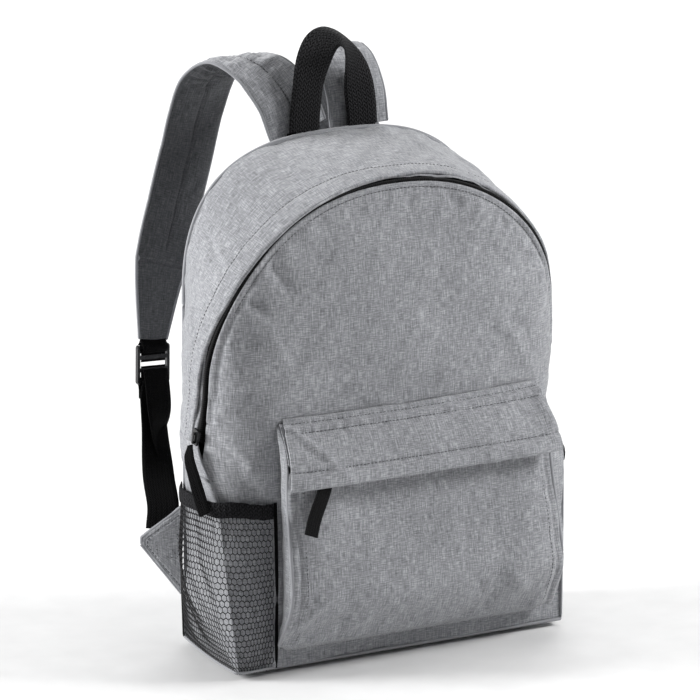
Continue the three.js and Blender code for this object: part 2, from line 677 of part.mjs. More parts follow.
function makeStraps() {
  const ways = { left: 1, right: -1 };
  for (const [name, way] of Object.entries(ways)) {
    const flip = (geometry) => {
      geometry.scale(way, 1, 1);
      if (way < 0) {
        geometry.index.array.reverse();
      }
      return geometry;
    };
    const route = new THREE.CatmullRomCurve3(STRAP_ROUTES[name].map((p) => v3(...p)), false, "centripetal");
    const part = (width, depths, range, steps) =>
      flip(band(route, sideways, width, depths, 4, steps, range));
    const skin = STRAP_PAD / 2 + 1.5;
    add(`strap_root_${name}`, part(strapWidth, [-3, 3], [0.012, ROOT_PART - 0.012], 3), greyCloth());
    const range = [ROOT_PART, TIP_PART - 0.003];
    add(`strap_foam_${name}`, part(strapWidth, [-STRAP_PAD / 2, STRAP_PAD / 2], range, 32), foam());
    add(`strap_face_${name}`, part(strapWidth, [-skin - CLOTH, -skin], range, 32), greyCloth());
    add(`strap_lining_${name}`, part(strapWidth, [skin, skin + CLOTH], range, 32), darkCloth());
    add(`strap_tip_${name}`, part(strapWidth, [-3, 3], [TIP_PART, 0.99], 8), greyCloth());
    makeBuckle(name, flip, route);
    makeTab(name, flip);
  }
}

// The adjuster is a ladder frame; the strap's short loop holds its top bar, the webbing its lower bars.
function makeBuckle(name, flip, route) {
  const end = route.getPointAt(1);
  const down = v3(...WEBBING_ROUTE[0]).sub(end).normalize();
  const wide = sideways(1);
  wide.addScaledVector(down, -wide.dot(down)).normalize();
  const face = v3().crossVectors(wide, down);
  const outline = new THREE.Shape();
  const halfW = BUCKLE_WIDTH / 2;
  const corner = 2.5;
  outline.absarc(halfW - corner, BUCKLE_HEIGHT - corner, corner, 0, Math.PI / 2);
  outline.absarc(-halfW + corner, BUCKLE_HEIGHT - corner, corner, Math.PI / 2, Math.PI);
  outline.absarc(-halfW + corner, corner, corner, Math.PI, 1.5 * Math.PI);
  outline.absarc(halfW - corner, corner, corner, 1.5 * Math.PI, 2 * Math.PI);
  const slots = [[BUCKLE_BAR, 8.4], [11.6, 18.4], [21.6, BUCKLE_HEIGHT - BUCKLE_BAR]];
  for (const [from, to] of slots) {
    const hole = new THREE.Path();
    hole.moveTo(-halfW + 2.6, from);
    hole.lineTo(-halfW + 2.6, to);
    hole.lineTo(halfW - 2.6, to);
    hole.lineTo(halfW - 2.6, from);
    outline.holes.push(hole);
  }
  const frame = new THREE.ExtrudeGeometry(outline, { depth: 2.8, bevelEnabled: false, curveSegments: 4 });
  const body = geometryOf(solid(frame));
  body.translate(0, 0, -1.4);
  const top = end.clone().addScaledVector(down, 3.6);
  const turned = new THREE.Matrix4().makeBasis(wide, down, face).setPosition(top);
  body.applyMatrix4(turned);
  add(`adjuster_${name}`, flip(body), buckleBlack());

  // a closed eye of webbing round a bar, drawn in the frame's own axes
  const eye = (bar, tail, thickness) => {
    const ring = new THREE.Shape();
    const inner = BUCKLE_BAR / 2 + 0.9;
    ring.absarc(0, bar, inner + thickness, bar > tail ? 0 : Math.PI, bar > tail ? Math.PI : 2 * Math.PI);
    ring.lineTo(bar > tail ? -1.7 : 1.7, tail);
    ring.lineTo(bar > tail ? 1.7 : -1.7, tail);
    const hole = new THREE.Path();
    hole.absarc(0, bar, inner, 0, 2 * Math.PI, true);
    ring.holes.push(hole);
    const settings = { depth: WEBBING_WIDTH, bevelEnabled: false, curveSegments: 6 };
    const loop = new THREE.ExtrudeGeometry(ring, settings);
    const made = geometryOf(solid(loop));
    made.translate(0, 0, -WEBBING_WIDTH / 2);
    made.applyMatrix4(new THREE.Matrix4().makeBasis(face, down, wide.clone().negate()));
    return made.translate(end.x, end.y, end.z);
  };
  add(`webbing_loop_${name}`, flip(eye(3.6 + BUCKLE_BAR / 2, 0.8, 1.1)), blackWebbing());
  add(`webbing_grip_${name}`, flip(eye(3.6 + 29.4, 42, 1.1)), blackWebbing());
  const strandPoints = [end.clone().addScaledVector(down, 44.4), ...WEBBING_ROUTE.slice(1).map((p) => v3(...p))];
  const strand = new THREE.CatmullRomCurve3(strandPoints, false, "centripetal");
  const side = (t) => wide.clone().lerp(TAB_FACE.clone().negate(), smooth(t, 0.2, 0.9));
  const low = -WEBBING_THICKNESS / 2;
  add(`webbing_${name}`, flip(band(strand, side, () => WEBBING_WIDTH, [low, -low], 1, 16)), blackWebbing());
}

// The sewn wing at the foot of the back seam that holds the webbing's lower end.
function makeTab(name, flip) {
  const outline = new THREE.Shape();
  outline.moveTo(0.6, 35);
  outline.lineTo(33, 74);
  outline.lineTo(30, 80);
  outline.lineTo(0.6, 106);
  const tab = geometryOf(solid(new THREE.ExtrudeGeometry(outline, { depth: 3, bevelEnabled: false })));
  const face = v3().crossVectors(TAB_FACE, v3(0, 0, 1));
  const seamCorner = v3(-BACK_HALF_WIDTH - 0.6, 2.6, 0);
  tab.applyMatrix4(new THREE.Matrix4().makeBasis(TAB_FACE, v3(0, 0, 1), face).setPosition(seamCorner));
  add(`anchor_tab_${name}`, flip(tab), greyCloth());
}

makeBody();
makePocket();
makeMainZip();
makeSliders();
makeMeshPockets();
makeHaulLoop();
makeStraps();
pack.position.y = -BASE_FRONT_Y / 2;

export default pack;
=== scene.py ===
import math

import bpy
import numpy as np
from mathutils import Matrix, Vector


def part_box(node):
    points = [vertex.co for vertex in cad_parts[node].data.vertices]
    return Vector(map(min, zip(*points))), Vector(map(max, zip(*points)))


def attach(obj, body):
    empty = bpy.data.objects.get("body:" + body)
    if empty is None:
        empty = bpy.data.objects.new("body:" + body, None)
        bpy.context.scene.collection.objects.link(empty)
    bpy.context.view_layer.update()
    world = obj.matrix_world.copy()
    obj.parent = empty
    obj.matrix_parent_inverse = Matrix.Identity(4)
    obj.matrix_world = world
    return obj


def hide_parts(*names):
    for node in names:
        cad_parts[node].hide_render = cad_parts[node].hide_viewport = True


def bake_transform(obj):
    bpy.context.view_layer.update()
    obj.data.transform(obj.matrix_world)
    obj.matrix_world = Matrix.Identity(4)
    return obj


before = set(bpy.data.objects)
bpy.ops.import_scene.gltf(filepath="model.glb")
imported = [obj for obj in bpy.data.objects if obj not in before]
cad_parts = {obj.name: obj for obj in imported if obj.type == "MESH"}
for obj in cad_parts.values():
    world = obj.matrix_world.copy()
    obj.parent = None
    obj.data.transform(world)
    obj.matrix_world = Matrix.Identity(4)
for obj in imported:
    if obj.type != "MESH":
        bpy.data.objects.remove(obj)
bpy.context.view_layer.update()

# ---------- sizes read from the frame, in millimetres in the frame's own axes ----------
MM = 1000.0


def corner(node, high, axis):
    """One coordinate of a CAD node's box, in millimetres."""
    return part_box(node)[1 if high else 0][axis] * MM


BACK_Y = corner("back_panel", True, 1)
BACK_HALF = corner("back_panel", True, 0)
BACK_TOP = corner("back_panel", True, 2)
BASE_HALF = corner("bottom_panel", True, 0)
BASE_DEPTH = BACK_Y - corner("bottom_panel", False, 1)
ZIP_R = corner("gusset_band", True, 0)
FOLD_Z = 217.0
ZIP_END_Z = 176.0
BACK_SHOULDER_Z = 270.0
FLAP_LOW = corner("pocket_flap", False, 2)
POCKET_LOW = corner("pocket_panel", False, 2)
POCKET_X = (corner("pocket_panel", False, 0) + corner("pocket_panel", True, 0)) / 2
MESH_TOP = corner("mesh_binding_left", False, 2)
BINDING_TOP = corner("mesh_binding_left", True, 2)
MOUTH_RISE = 10.0
BINDING_HEIGHT = BINDING_TOP - MESH_TOP - MOUTH_RISE
MESH_FRONT_X = 114.0
CLOTH = 1.3
WALL_LOW = 1.0
SIDE_SEAM_Z = 150.0
ARCH_LENGTH = 820.0
GUSSET_DEPTH = 95.0
MESH_RUN = 92.0
POCKET_HALF = 114.0
QUILT_X = (-44.0, 44.0)
QUILT_Z = (58.0, 196.0, 334.0)
UP = np.array([0, 0, 1.0])
FORWARD = np.array([0, -1.0, 0])


def mix(a, b, t):
    return a + (b - a) * t


def smooth(x, low, high):
    t = np.clip((x - low) / (high - low), 0, 1)
    return t * t * (3 - 2 * t)


def stack(x, y, z):
    x, y, z = np.broadcast_arrays(x, y, z)
    return np.stack([x, y, z], -1).astype(float)


def gauss(x, middle, width):
    """A smooth ridge of height 1 about the middle."""
    return np.exp(-(((x - middle) / width) ** 2))


def unit(v):
    return v / np.linalg.norm(v, axis=-1, keepdims=True)


def run_length(points):
    """The distance along a polyline at each of its points."""
    return np.concatenate([[0], np.cumsum(np.linalg.norm(np.diff(points, axis=0), axis=1))])


def sample(at, run, columns):
    """The columns' values at distances along a run."""
    return np.stack([np.interp(at, run, columns[:, k]) for k in range(columns.shape[1])], -1)


# ---------- quiet, repeatable unevenness ----------
def ripple(a, b, seed, scale, octaves=3):
    """Smooth noise from -1 to 1 over two coordinates in millimetres: a few crossed waves."""
    rng = np.random.default_rng(seed)
    total = np.zeros(np.broadcast(a, b).shape)
    size = 0.0
    for octave in range(octaves):
        for _ in range(4):
            turn = rng.uniform(0, math.tau)
            wave = math.tau / (scale / 1.9**octave) * rng.uniform(0.75, 1.25)
            across = a * math.cos(turn) + b * math.sin(turn)
            total = total + 0.6**octave * np.sin(wave * across + rng.uniform(0, math.tau))
        size += 0.6**octave * 2.0
    return total / size


def crease(a, b, start, end, width, depth):
    """A soft fold along the line from start to end: depth is how far it stands out, or in when negative."""
    start, end = np.array(start, float), np.array(end, float)
    way = end - start
    t = np.clip(((a - start[0]) * way[0] + (b - start[1]) * way[1]) / (way @ way), 0, 1)
    far = np.hypot(a - start[0] - t * way[0], b - start[1] - t * way[1])
    fade = np.sin(math.pi * np.clip(0.12 + 0.76 * t, 0, 1))
    return depth * fade * gauss(far, 0, width)


def creases(a, b, folds, share=1.0):
    """Several soft folds added up, each as its start, end, width and depth."""
    return sum(share * crease(a, b, *fold) for fold in folds)


# ---------- the body's surfaces, as the CAD draws them: y = 0 at the back panel ----------
def front_half(z):
    return mix(BASE_HALF, ZIP_R, np.sin(math.pi / 2 * np.clip(z / FOLD_Z, 0, 1)))


def seam_y(z):
    low = mix(-BASE_DEPTH, -92, z / 137)
    middle = mix(-92, -62, smooth(z, 133, ZIP_END_Z))
    high = mix(-62, -72, np.clip((z - ZIP_END_Z) / (FOLD_Z - ZIP_END_Z), 0, 1))
    return np.where(z < 133, low, np.where(z < ZIP_END_Z, middle, high))


def lower_front(u, z):
    edge = np.abs(np.clip(u, -1, 1)) ** 11
    middle = mix(-BASE_DEPTH, -110, np.sin(math.pi / 2 * np.clip(z / FOLD_Z, 0, 1)))
    middle = middle + 13 * np.clip(u, -1, 1) ** 2 * smooth(z, 60, FOLD_Z)
    return stack(u * front_half(z), mix(middle, seam_y(z), edge), z)


def upper_front(radius, angle):
    power = 2 / 2.2
    x = radius * ZIP_R * np.sign(np.cos(angle)) * np.abs(np.cos(angle)) ** power
    rise = radius * ZIP_R * np.maximum(np.sin(angle), 0) ** power
    edge = np.clip(np.abs(x) / ZIP_R, 0, 1) ** 11
    y = -97 + 25 * edge - 13 * (1 - radius**2) * (1 - edge)
    return stack(x, y, FOLD_Z + rise)


def even(points, count):
    """The same polyline with its points spaced evenly."""
    run = run_length(points)
    return sample(np.linspace(0, run[-1], count), run, points)


def zip_points(count):
    leg = (FOLD_Z - ZIP_END_Z) / ZIP_R
    swing = np.linspace(-math.pi / 2 - leg, math.pi / 2 + leg, 3000)
    arch = upper_front(1.0, math.pi / 2 - np.clip(swing, -math.pi / 2, math.pi / 2))
    down = np.maximum(np.abs(swing) - math.pi / 2, 0) * ZIP_R
    arch[:, 2] -= down
    arch[:, 1] = np.where(down > 0, seam_y(arch[:, 2]), arch[:, 1])
    return even(arch, count)


def back_points(count):
    rise = BACK_TOP - BACK_SHOULDER_Z
    leg = (BACK_SHOULDER_Z - ZIP_END_Z) / rise
    swing = np.linspace(-math.pi / 2 - leg, math.pi / 2 + leg, 3000)
    turn = np.clip(swing, -math.pi / 2, math.pi / 2)
    x = BACK_HALF * np.sign(turn) * np.abs(np.sin(turn)) ** (2 / 2.7)
    z = BACK_SHOULDER_Z + rise * np.maximum(np.cos(turn), 0) ** (2 / 2.7)
    z = z - np.maximum(np.abs(swing) - math.pi / 2, 0) * rise
    return even(stack(x, np.zeros_like(x), z), count)


ARCH_COUNT = 361
ZIP = zip_points(ARCH_COUNT)
BACK = back_points(ARCH_COUNT)


def along(points, t):
    return sample(np.clip(t, 0, 1) * (len(points) - 1), np.arange(len(points)), points)


def gusset(s, t):
    """The band over the top: s from back seam 0 to zip 1, t along the arch from its left end."""
    back, front = along(BACK, t), along(ZIP, t)
    s = np.asarray(s)[..., None]
    point = mix(back, front, s)
    away = np.abs(2 * np.clip(t, 0, 1) - 1)
    swell = mix(2.0, 8.0, smooth(away, 0.2, 0.8))[..., None] * np.sin(math.pi * np.clip(s, 0, 1))
    outward = stack(point[..., 0], 0, np.maximum(point[..., 2] - FOLD_Z, 0))
    return point + unit(outward) * swell


def left_side(s, z):
    x = mix(BACK_HALF, front_half(z), s)
    swell = mix(5, 9, smooth(z, 0, ZIP_END_Z)) * np.sin(math.pi * np.clip(s, 0, 1)) * smooth(z, -40, 60)
    return stack(-x - swell, mix(0.0, seam_y(z), s), z)


# ---------- mesh building ----------
def to_frame(points):
    """From the drawing axes, y = 0 at the back panel, to the frame, in metres."""
    out = np.array(points, float).reshape(-1, 3)
    out[:, 1] += BACK_Y
    return out / MM


def make_object(name, points, faces, material, cloth=None, flat=False):
    mesh = bpy.data.meshes.new(name)
    mesh.from_pydata(to_frame(points).tolist(), [], [list(f) for f in faces])
    mesh.update()
    if not flat:
        mesh.polygons.foreach_set("use_smooth", [True] * len(mesh.polygons))
    if cloth is not None:
        attribute = mesh.attributes.new("cloth", "FLOAT_VECTOR", "POINT")
        attribute.data.foreach_set("vector", (np.asarray(cloth, float) / MM).astype(np.float32).ravel())
    mesh.materials.append(material)
    obj = bpy.data.objects.new(name, mesh)
    bpy.context.scene.collection.objects.link(obj)
    return obj


def grid_normals(points):
    du = np.gradient(points, axis=0)
    dv = np.gradient(points, axis=1)
    normal = np.cross(du, dv)
    return normal / np.maximum(np.linalg.norm(normal, axis=-1, keepdims=True), 1e-9)


def grid_lengths(points):
    """Distances along both ways of a grid, so that the weave keeps its scale on curved cloth."""
    du = np.linalg.norm(np.diff(points, axis=0), axis=-1)
    dv = np.linalg.norm(np.diff(points, axis=1), axis=-1)
    a = np.zeros(points.shape[:2])
    b = np.zeros(points.shape[:2])
    a[1:] = np.cumsum(du.mean(1))[:, None]
    b[:, 1:] = np.cumsum(dv.mean(0))[None]
    return a - a.mean(), b - b.mean()


def orient(normal, outside):
    """Turns the normals so that they point the way that outside does."""
    reference = np.asarray(outside, float)
    if reference.ndim == 1:
        reference = np.broadcast_to(reference, normal.shape)
    return -normal if (normal * reference).sum() < 0 else normal


def sheet_mesh(name, points, outside, material, thick=CLOTH, relief=None, weave=(0, 0), yarns=None):
    """A closed piece of cloth: the outer grid, an inner grid below it, and a rounded rim."""
    normal = orient(grid_normals(points), outside)
    a, b = grid_lengths(points) if yarns is None else yarns
    if relief is not None:
        points = points + normal * relief[..., None]
        normal = orient(grid_normals(points), outside)
    n, m = points.shape[:2]
    inner = points - normal * thick
    rows = [0, n - 1]
    ease = np.zeros((n, m))
    ease[rows, :] = 1
    ease[:, [0, m - 1]] = 1
    outer = points - normal * (ease * thick * 0.3)[..., None]
    inner = inner + normal * (ease * thick * 0.3)[..., None]
    flip = (np.cross(points[1, 0] - points[0, 0], points[0, 1] - points[0, 0]) @ normal[0, 0]) < 0
    index = np.arange(n * m).reshape(n, m)
    quads = np.stack([index[:-1, :-1], index[1:, :-1], index[1:, 1:], index[:-1, 1:]], -1).reshape(-1, 4)
    if flip:
        quads = quads[:, ::-1]
    back = quads[:, ::-1] + n * m
    border = np.concatenate([index[:-1, 0], index[-1, :-1], index[:0:-1, -1], index[0, :0:-1]])
    after = np.roll(border, -1)
    rim = np.stack([after, border, border + n * m, after + n * m], -1)
    if flip:
        rim = rim[:, ::-1]
    cloth = np.concatenate([stack(a + weave[0], b + weave[1], 0).reshape(-1, 3)] * 2)
    every = np.concatenate([outer.reshape(-1, 3), inner.reshape(-1, 3)])
    faces = np.concatenate([quads, back, rim])
    return make_object(name, every, faces.tolist(), material, cloth)


def tube_mesh(name, paths, radius, material, sides=6):
    """Closed tubes along several polylines, joined in one piece: cords, piping, seams and ribs."""
    points, faces, base = [], [], 0
    for path in paths:
        path = np.asarray(path, float)
        tangent = np.gradient(path, axis=0)
        tangent /= np.maximum(np.linalg.norm(tangent, axis=1, keepdims=True), 1e-9)
        side = np.cross(tangent, np.broadcast_to(UP, path.shape))
        weak = np.linalg.norm(side, axis=1) < 1e-3
        side[weak] = np.cross(tangent[weak], [0.0, 1.0, 0.0])
        side /= np.linalg.norm(side, axis=1, keepdims=True)
        up = np.cross(side, tangent)
        turn = np.linspace(0, math.tau, sides, endpoint=False)
        ease = np.ones(len(path))
        ease[[0, -1]] = 0.55
        reach = radius * ease[:, None, None]
        level, high = np.cos(turn)[None, :, None], np.sin(turn)[None, :, None]
        ring = path[:, None] + reach * (level * side[:, None] + high * up[:, None])
        count = len(path)
        index = base + np.arange(count * sides).reshape(count, sides)
        nxt = np.roll(index, -1, axis=1)
        quads = np.stack([index[:-1], nxt[:-1], nxt[1:], index[1:]], -1).reshape(-1, 4)
        points.append(ring.reshape(-1, 3))
        faces += quads.tolist()
        faces.append(index[0][::-1].tolist())
        faces.append(index[-1].tolist())
        base += count * sides
    return make_object(name, np.concatenate(points), faces, material)


def stitch_row(path, normal, pitch=3.3, length=2.3, lift=0.25):
    """Short straight stitches along a line that lies on the cloth, each slightly arched."""
    path = np.asarray(path, float)
    normal = np.broadcast_to(np.asarray(normal, float), path.shape)
    run = run_length(path)
    rows = []
    for start in np.arange(1.0, run[-1] - length, pitch):
        at = start + length * np.array([0, 0.5, 1])
        rise = np.array([-0.25, lift, -0.25])[:, None]
        rows.append(sample(at, run, path) + sample(at, run, normal) * rise)
    return rows


def stitches(name, rows, material, body=None, radius=0.34):
    obj = tube_mesh(name, rows, radius, material, sides=4)
    if body:
        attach(obj, body)
    return obj


# ---------- materials ----------
def new_material(name):
    material = bpy.data.materials.new(name)
    material.use_nodes = True
    tree = material.node_tree
    shader = tree.nodes["Principled BSDF"]
    return material, tree, shader


def feed(tree, target, inputs):
    """Gives a node's inputs their values, or links them when the value is another node's output."""
    for key, value in inputs.items():
        if isinstance(value, bpy.types.NodeSocket):
            tree.links.new(value, target.inputs[key])
        else:
            target.inputs[key].default_value = value


def node(tree, kind, inputs=None, **settings):
    made = tree.nodes.new(kind)
    for key, value in settings.items():
        setattr(made, key, value)
    feed(tree, made, inputs or {})
    return made


def stretched_noise(tree, vector, scale, detail=2.0, rough=0.5):
    spread = node(tree, "ShaderNodeMapping", {"Vector": vector, "Scale": scale})
    inputs = {"Vector": spread.outputs[0], "Scale": 1.0, "Detail": detail, "Roughness": rough}
    return node(tree, "ShaderNodeTexNoise", inputs).outputs["Fac"]


def ramp(tree, value, stops):
    made = node(tree, "ShaderNodeValToRGB", {"Fac": value})
    elements = made.color_ramp.elements
    for element, (place, colour) in zip(elements, (stops[0], stops[-1])):
        element.position = place
        element.color = (*colour, 1)
    for place, colour in stops[1:-1]:
        elements.new(place).color = (*colour, 1)
    return made.outputs["Color"]


def maths(tree, operation, a, b=None, c=None):
    values = {place: value for place, value in enumerate((a, b, c)) if value is not None}
    made = node(tree, "ShaderNodeMath", values, operation=operation)
    return made.outputs[0]


def heather_cloth(name, dark, middle, light, sheen=0.25):
    """Two-tone polyester: pale and dark yarns run both ways as short streaks over a fine plain weave."""
    material, tree, shader = new_material(name)
    cloth = node(tree, "ShaderNodeAttribute", attribute_name="cloth").outputs["Vector"]
    weft = stretched_noise(tree, cloth, (150.0, 1250.0, 1.0), 3.0, 0.65)
    warp = stretched_noise(tree, cloth, (1250.0, 95.0, 1.0), 3.0, 0.65)
    cloud = stretched_noise(tree, cloth, (14.0, 11.0, 1.0), 3.0, 0.55)
    streaks = maths(tree, "ADD", maths(tree, "MULTIPLY", weft, 0.5), maths(tree, "MULTIPLY", warp, 0.5))
    shade = maths(tree, "ADD", streaks, maths(tree, "MULTIPLY", maths(tree, "SUBTRACT", cloud, 0.5), 0.12))
    colour = ramp(tree, shade, [(0.33, dark), (0.5, middle), (0.67, light)])
    split = node(tree, "ShaderNodeSeparateXYZ", {"Vector": cloth})
    across = maths(tree, "SINE", maths(tree, "MULTIPLY", split.outputs["X"], 7600.0))
    down = maths(tree, "SINE", maths(tree, "MULTIPLY", split.outputs["Y"], 7600.0))
    weave = maths(tree, "MULTIPLY", across, down)
    height = maths(tree, "ADD", maths(tree, "MULTIPLY", weave, 0.35), streaks)
    bump = node(tree, "ShaderNodeBump", {"Height": height, "Strength": 0.35, "Distance": 0.0004})
    rough = maths(tree, "MULTIPLY_ADD", streaks, 0.2, 0.72)
    feed(tree, shader, {"Base Color": colour, "Normal": bump.outputs[0], "Roughness": rough})
    feed(tree, shader, {"Sheen Weight": sheen, "Sheen Roughness": 0.5, "Specular IOR Level": 0.25})
    return material


def webbing_cloth(name, colour, pale, rib):
    """Woven tape with herringbone ribs in near-black yarn, with a painted highlight: the colour is paler on
    the raised ribs.
    """
    material, tree, shader = new_material(name)
    cloth = node(tree, "ShaderNodeAttribute", attribute_name="cloth").outputs["Vector"]
    split = node(tree, "ShaderNodeSeparateXYZ", {"Vector": cloth})
    zigzag = maths(tree, "PINGPONG", split.outputs["X"], 0.0021)
    slope = maths(tree, "ADD", split.outputs["Y"], maths(tree, "MULTIPLY", zigzag, 1.4))
    ribs = maths(tree, "SINE", maths(tree, "MULTIPLY", slope, math.tau * rib))
    lines = maths(tree, "SINE", maths(tree, "MULTIPLY", split.outputs["X"], math.tau * 480.0))
    grain = stretched_noise(tree, cloth, (900.0, 900.0, 1.0), 2.0)
    height = maths(tree, "ADD", maths(tree, "MULTIPLY", ribs, 0.5), maths(tree, "MULTIPLY", lines, 0.25))
    # Painted highlight: the colour follows the rib and line height and is paler where they stand up, with a
    # random grain added.
    shade = maths(tree, "ADD", maths(tree, "MULTIPLY", height, 0.22), grain)
    base = ramp(tree, shade, [(0.3, colour), (0.75, pale)])
    bump = node(tree, "ShaderNodeBump", {"Height": height, "Strength": 0.8, "Distance": 0.0006})
    rough = maths(tree, "MULTIPLY_ADD", grain, 0.25, 0.6)
    feed(tree, shader, {"Base Color": base, "Normal": bump.outputs[0], "Roughness": rough})
    feed(tree, shader, {"Specular IOR Level": 0.06})
    return material


def speckled(name, colour, pale, roughness, scale, metallic=0.0, coat=0.0):
    """Moulded or enamelled black: slight mottling, handling marks and fine surface grain."""
    material, tree, shader = new_material(name)
    place = node(tree, "ShaderNodeTexCoord").outputs["Object"]
    mottle = stretched_noise(tree, place, (scale, scale, scale), 4.0, 0.6)
    fine = stretched_noise(tree, place, (scale * 9, scale * 9, scale * 9), 2.0)
    base = ramp(tree, mottle, [(0.3, colour), (0.75, pale)])
    rough = maths(tree, "MULTIPLY_ADD", fine, 0.25, roughness - 0.12)
    bump = node(tree, "ShaderNodeBump", {"Height": fine, "Strength": 0.2, "Distance": 0.0001})
    feed(tree, shader, {"Base Color": base, "Normal": bump.outputs[0], "Roughness": rough})
    feed(tree, shader, {"Metallic": metallic, "Coat Weight": coat, "Coat Roughness": 0.15})
    feed(tree, shader, {"Specular IOR Level": 0.3})
    return material


GREY = heather_cloth("heather_grey", (0.11, 0.115, 0.125), (0.27, 0.275, 0.292), (0.54, 0.55, 0.575))
# The same heather grey cloth made darker: painted shade for the straps' undersides, which are the grey cloth
# in shadow.
STRAP_PAINTED_SHADE_GREY = heather_cloth(
    "heather_grey_painted_shade", (0.035, 0.037, 0.04), (0.085, 0.087, 0.093), (0.17, 0.174, 0.184), 0.1
)
LINING = heather_cloth("lining_grey", (0.05, 0.052, 0.056), (0.10, 0.103, 0.11), (0.17, 0.175, 0.185), 0.1)
# Grey thread made darker than its own colour: partly the thread and partly painted shadow along the stitch
# lines.
THREAD_WITH_PAINTED_SHADOW = speckled("grey_thread_painted_shadow", (0.055, 0.057, 0.062), (0.12, 0.123, 0.13), 0.6, 900.0)
# Webbing, elastic and tapes: the second colour is the painted highlight on their raised ribs.
WEBBING = webbing_cloth("black_webbing", (0.0003, 0.0003, 0.0004), (0.0055, 0.0055, 0.006), 430.0)
LOOP_WEBBING = webbing_cloth("loop_webbing", (0.0008, 0.0008, 0.001), (0.034, 0.034, 0.036), 300.0)
ELASTIC = webbing_cloth("black_elastic", (0.002, 0.002, 0.0022), (0.03, 0.03, 0.033), 330.0)
ZIP_TAPE = webbing_cloth("zip_tape", (0.001, 0.001, 0.0011), (0.008, 0.008, 0.0085), 900.0)
PULL_TAPE = webbing_cloth("pull_tape", (0.005, 0.005, 0.0055), (0.022, 0.022, 0.023), 1100.0)
EDGE_THREAD = speckled("black_thread", (0.005, 0.005, 0.0055), (0.02, 0.02, 0.021), 0.55, 1500.0)
NYLON = speckled("nylon_yarn", (0.003, 0.003, 0.0033), (0.016, 0.016, 0.017), 0.6, 1500.0)
METAL = speckled(
    "black_enamel", (0.008, 0.008, 0.009), (0.03, 0.03, 0.032), 0.34, 320.0, metallic=0.6, coat=0.3
)
ACETAL = speckled("black_acetal", (0.006, 0.006, 0.0065), (0.016, 0.016, 0.017), 0.3, 160.0, coat=0.5)


# ---------- placing pieces ----------
def settle(obj, body, slot, *nodes):
    """The piece moves with a body and stands for CAD nodes; the slot is not used."""
    if nodes:
        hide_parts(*nodes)
    if body:
        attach(obj, body)
    return obj


def fold_with_flap(obj, slot, *nodes):
    if nodes:
        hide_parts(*nodes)
    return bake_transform(obj)


SIDES = {"left": 1, "right": -1}


def mirrored(points, way):
    return np.asarray(points) * np.array([way, 1, 1])


def seam_cord(name, path, radius, way=1, sides=6, material=GREY, slot="grey_cloth"):
    """One piping, seam ridge or edge that is sewn to the body."""
    return settle(tube_mesh(name, [mirrored(path, way)], radius, material, sides=sides), "root", slot)


# ---------- the zip line and its neighbours ----------
ZIP_STEPS = 401


def zip_frame(count):
    """Points along the zip with the directions into the front panel, into the gusset, and outwards."""
    t = np.linspace(0, 1, count)
    point = along(ZIP, t)
    x, z = point[:, 0], point[:, 2]
    over = z > FOLD_Z
    radius = 0.955
    inner = stack(x * radius, point[:, 1], np.where(over, FOLD_Z + (z - FOLD_Z) * radius, z))
    edge = np.clip(np.abs(inner[:, 0]) / ZIP_R, 0, 1) ** 11
    high = -97 + 25 * edge - 13 * (1 - radius**2) * (1 - edge)
    low = lower_front(inner[:, 0] / np.maximum(front_half(z), 1), z)[:, 1]
    inner[:, 1] = np.where(over, high, low)
    ahead = unit(inner - point)
    behind = unit(gusset(np.full(count, 0.9), t) - point)
    outward = unit(np.cross(unit(np.gradient(point, axis=0)), ahead - behind))
    if outward[count // 2, 1] > 0:
        outward = -outward
    return point, ahead, behind, outward


def strip_mesh(name, points, material, thick):
    """A thin closed strip through rows of points, across by along."""
    middle = points[points.shape[0] // 2, points.shape[1] // 2]
    outside = np.array([middle[0] * 0.2, -1.0, 0.4])
    return sheet_mesh(name, points, outside, material, thick=thick)


def make_zip():
    point, ahead, behind, outward = zip_frame(ZIP_STEPS)
    sink = outward * -1.6
    for name, way, share in (("front", ahead, 1), ("gusset", behind, 2)):
        rows = [point + sink + way * reach - outward * reach * 0.16 for reach in (0.35, 2.5, 6.0, 9.5)]
        tape = strip_mesh(f"zip_tape_{name}_cloth", np.stack(rows), ZIP_TAPE, 0.7)
        coil = []
        place = np.arange(2 + share * 0.9, 800, 1.8)
        run = run_length(point)
        for at in place[place < run[-1] - 3]:
            base, into, out = (sample(at, run, column) for column in (point, way, outward))
            turn = ((2.6, 1.2), (0.9, 0.5), (-0.7, 0.55))
            coil.append([base + into * reach - out * below for reach, below in turn])
        teeth = tube_mesh(f"zip_coil_{name}", coil, 0.55, NYLON, sides=5)
        if name == "front":
            fold_with_flap(tape, "zip_tape", "zip_tape_front", "zip_end_left", "zip_end_right")
            fold_with_flap(teeth, "zip_tape")
        else:
            settle(tape, "root", "zip_tape", "zip_tape_gusset")
            settle(teeth, "root", "zip_tape")


# ---------- front panel ----------
def front_grid():
    s = np.linspace(-1, 1, 161)
    across = np.sign(s) * (1 - (1 - np.abs(s)) ** 1.5)
    low_z = np.linspace(WALL_LOW, FOLD_Z, 84)
    reach_low = np.where(low_z > ZIP_END_Z, 0.985, mix(1.0, 0.985, smooth(low_z, 160, ZIP_END_Z)))
    lower = lower_front(across[:, None] * reach_low[None], low_z[None])
    b = np.linspace(0, 1, 74)[1:]
    sideways = np.abs(across)[:, None]
    up = np.broadcast_to(b[None], (len(s), len(b)))
    reach = np.maximum(sideways, up)
    quarter = math.pi / 4
    side_on = sideways >= up
    steep = 2 * quarter - quarter * sideways / up
    angle = np.where(side_on, quarter * up / np.maximum(sideways, 1e-9), steep)
    angle = np.where(across[:, None] >= 0, angle, math.pi - angle)
    upper = upper_front(reach * (0.985 + 0.008 * gauss(angle, 2.3, 0.5)), angle)
    return np.concatenate([lower, upper], 1), reach, len(low_z)


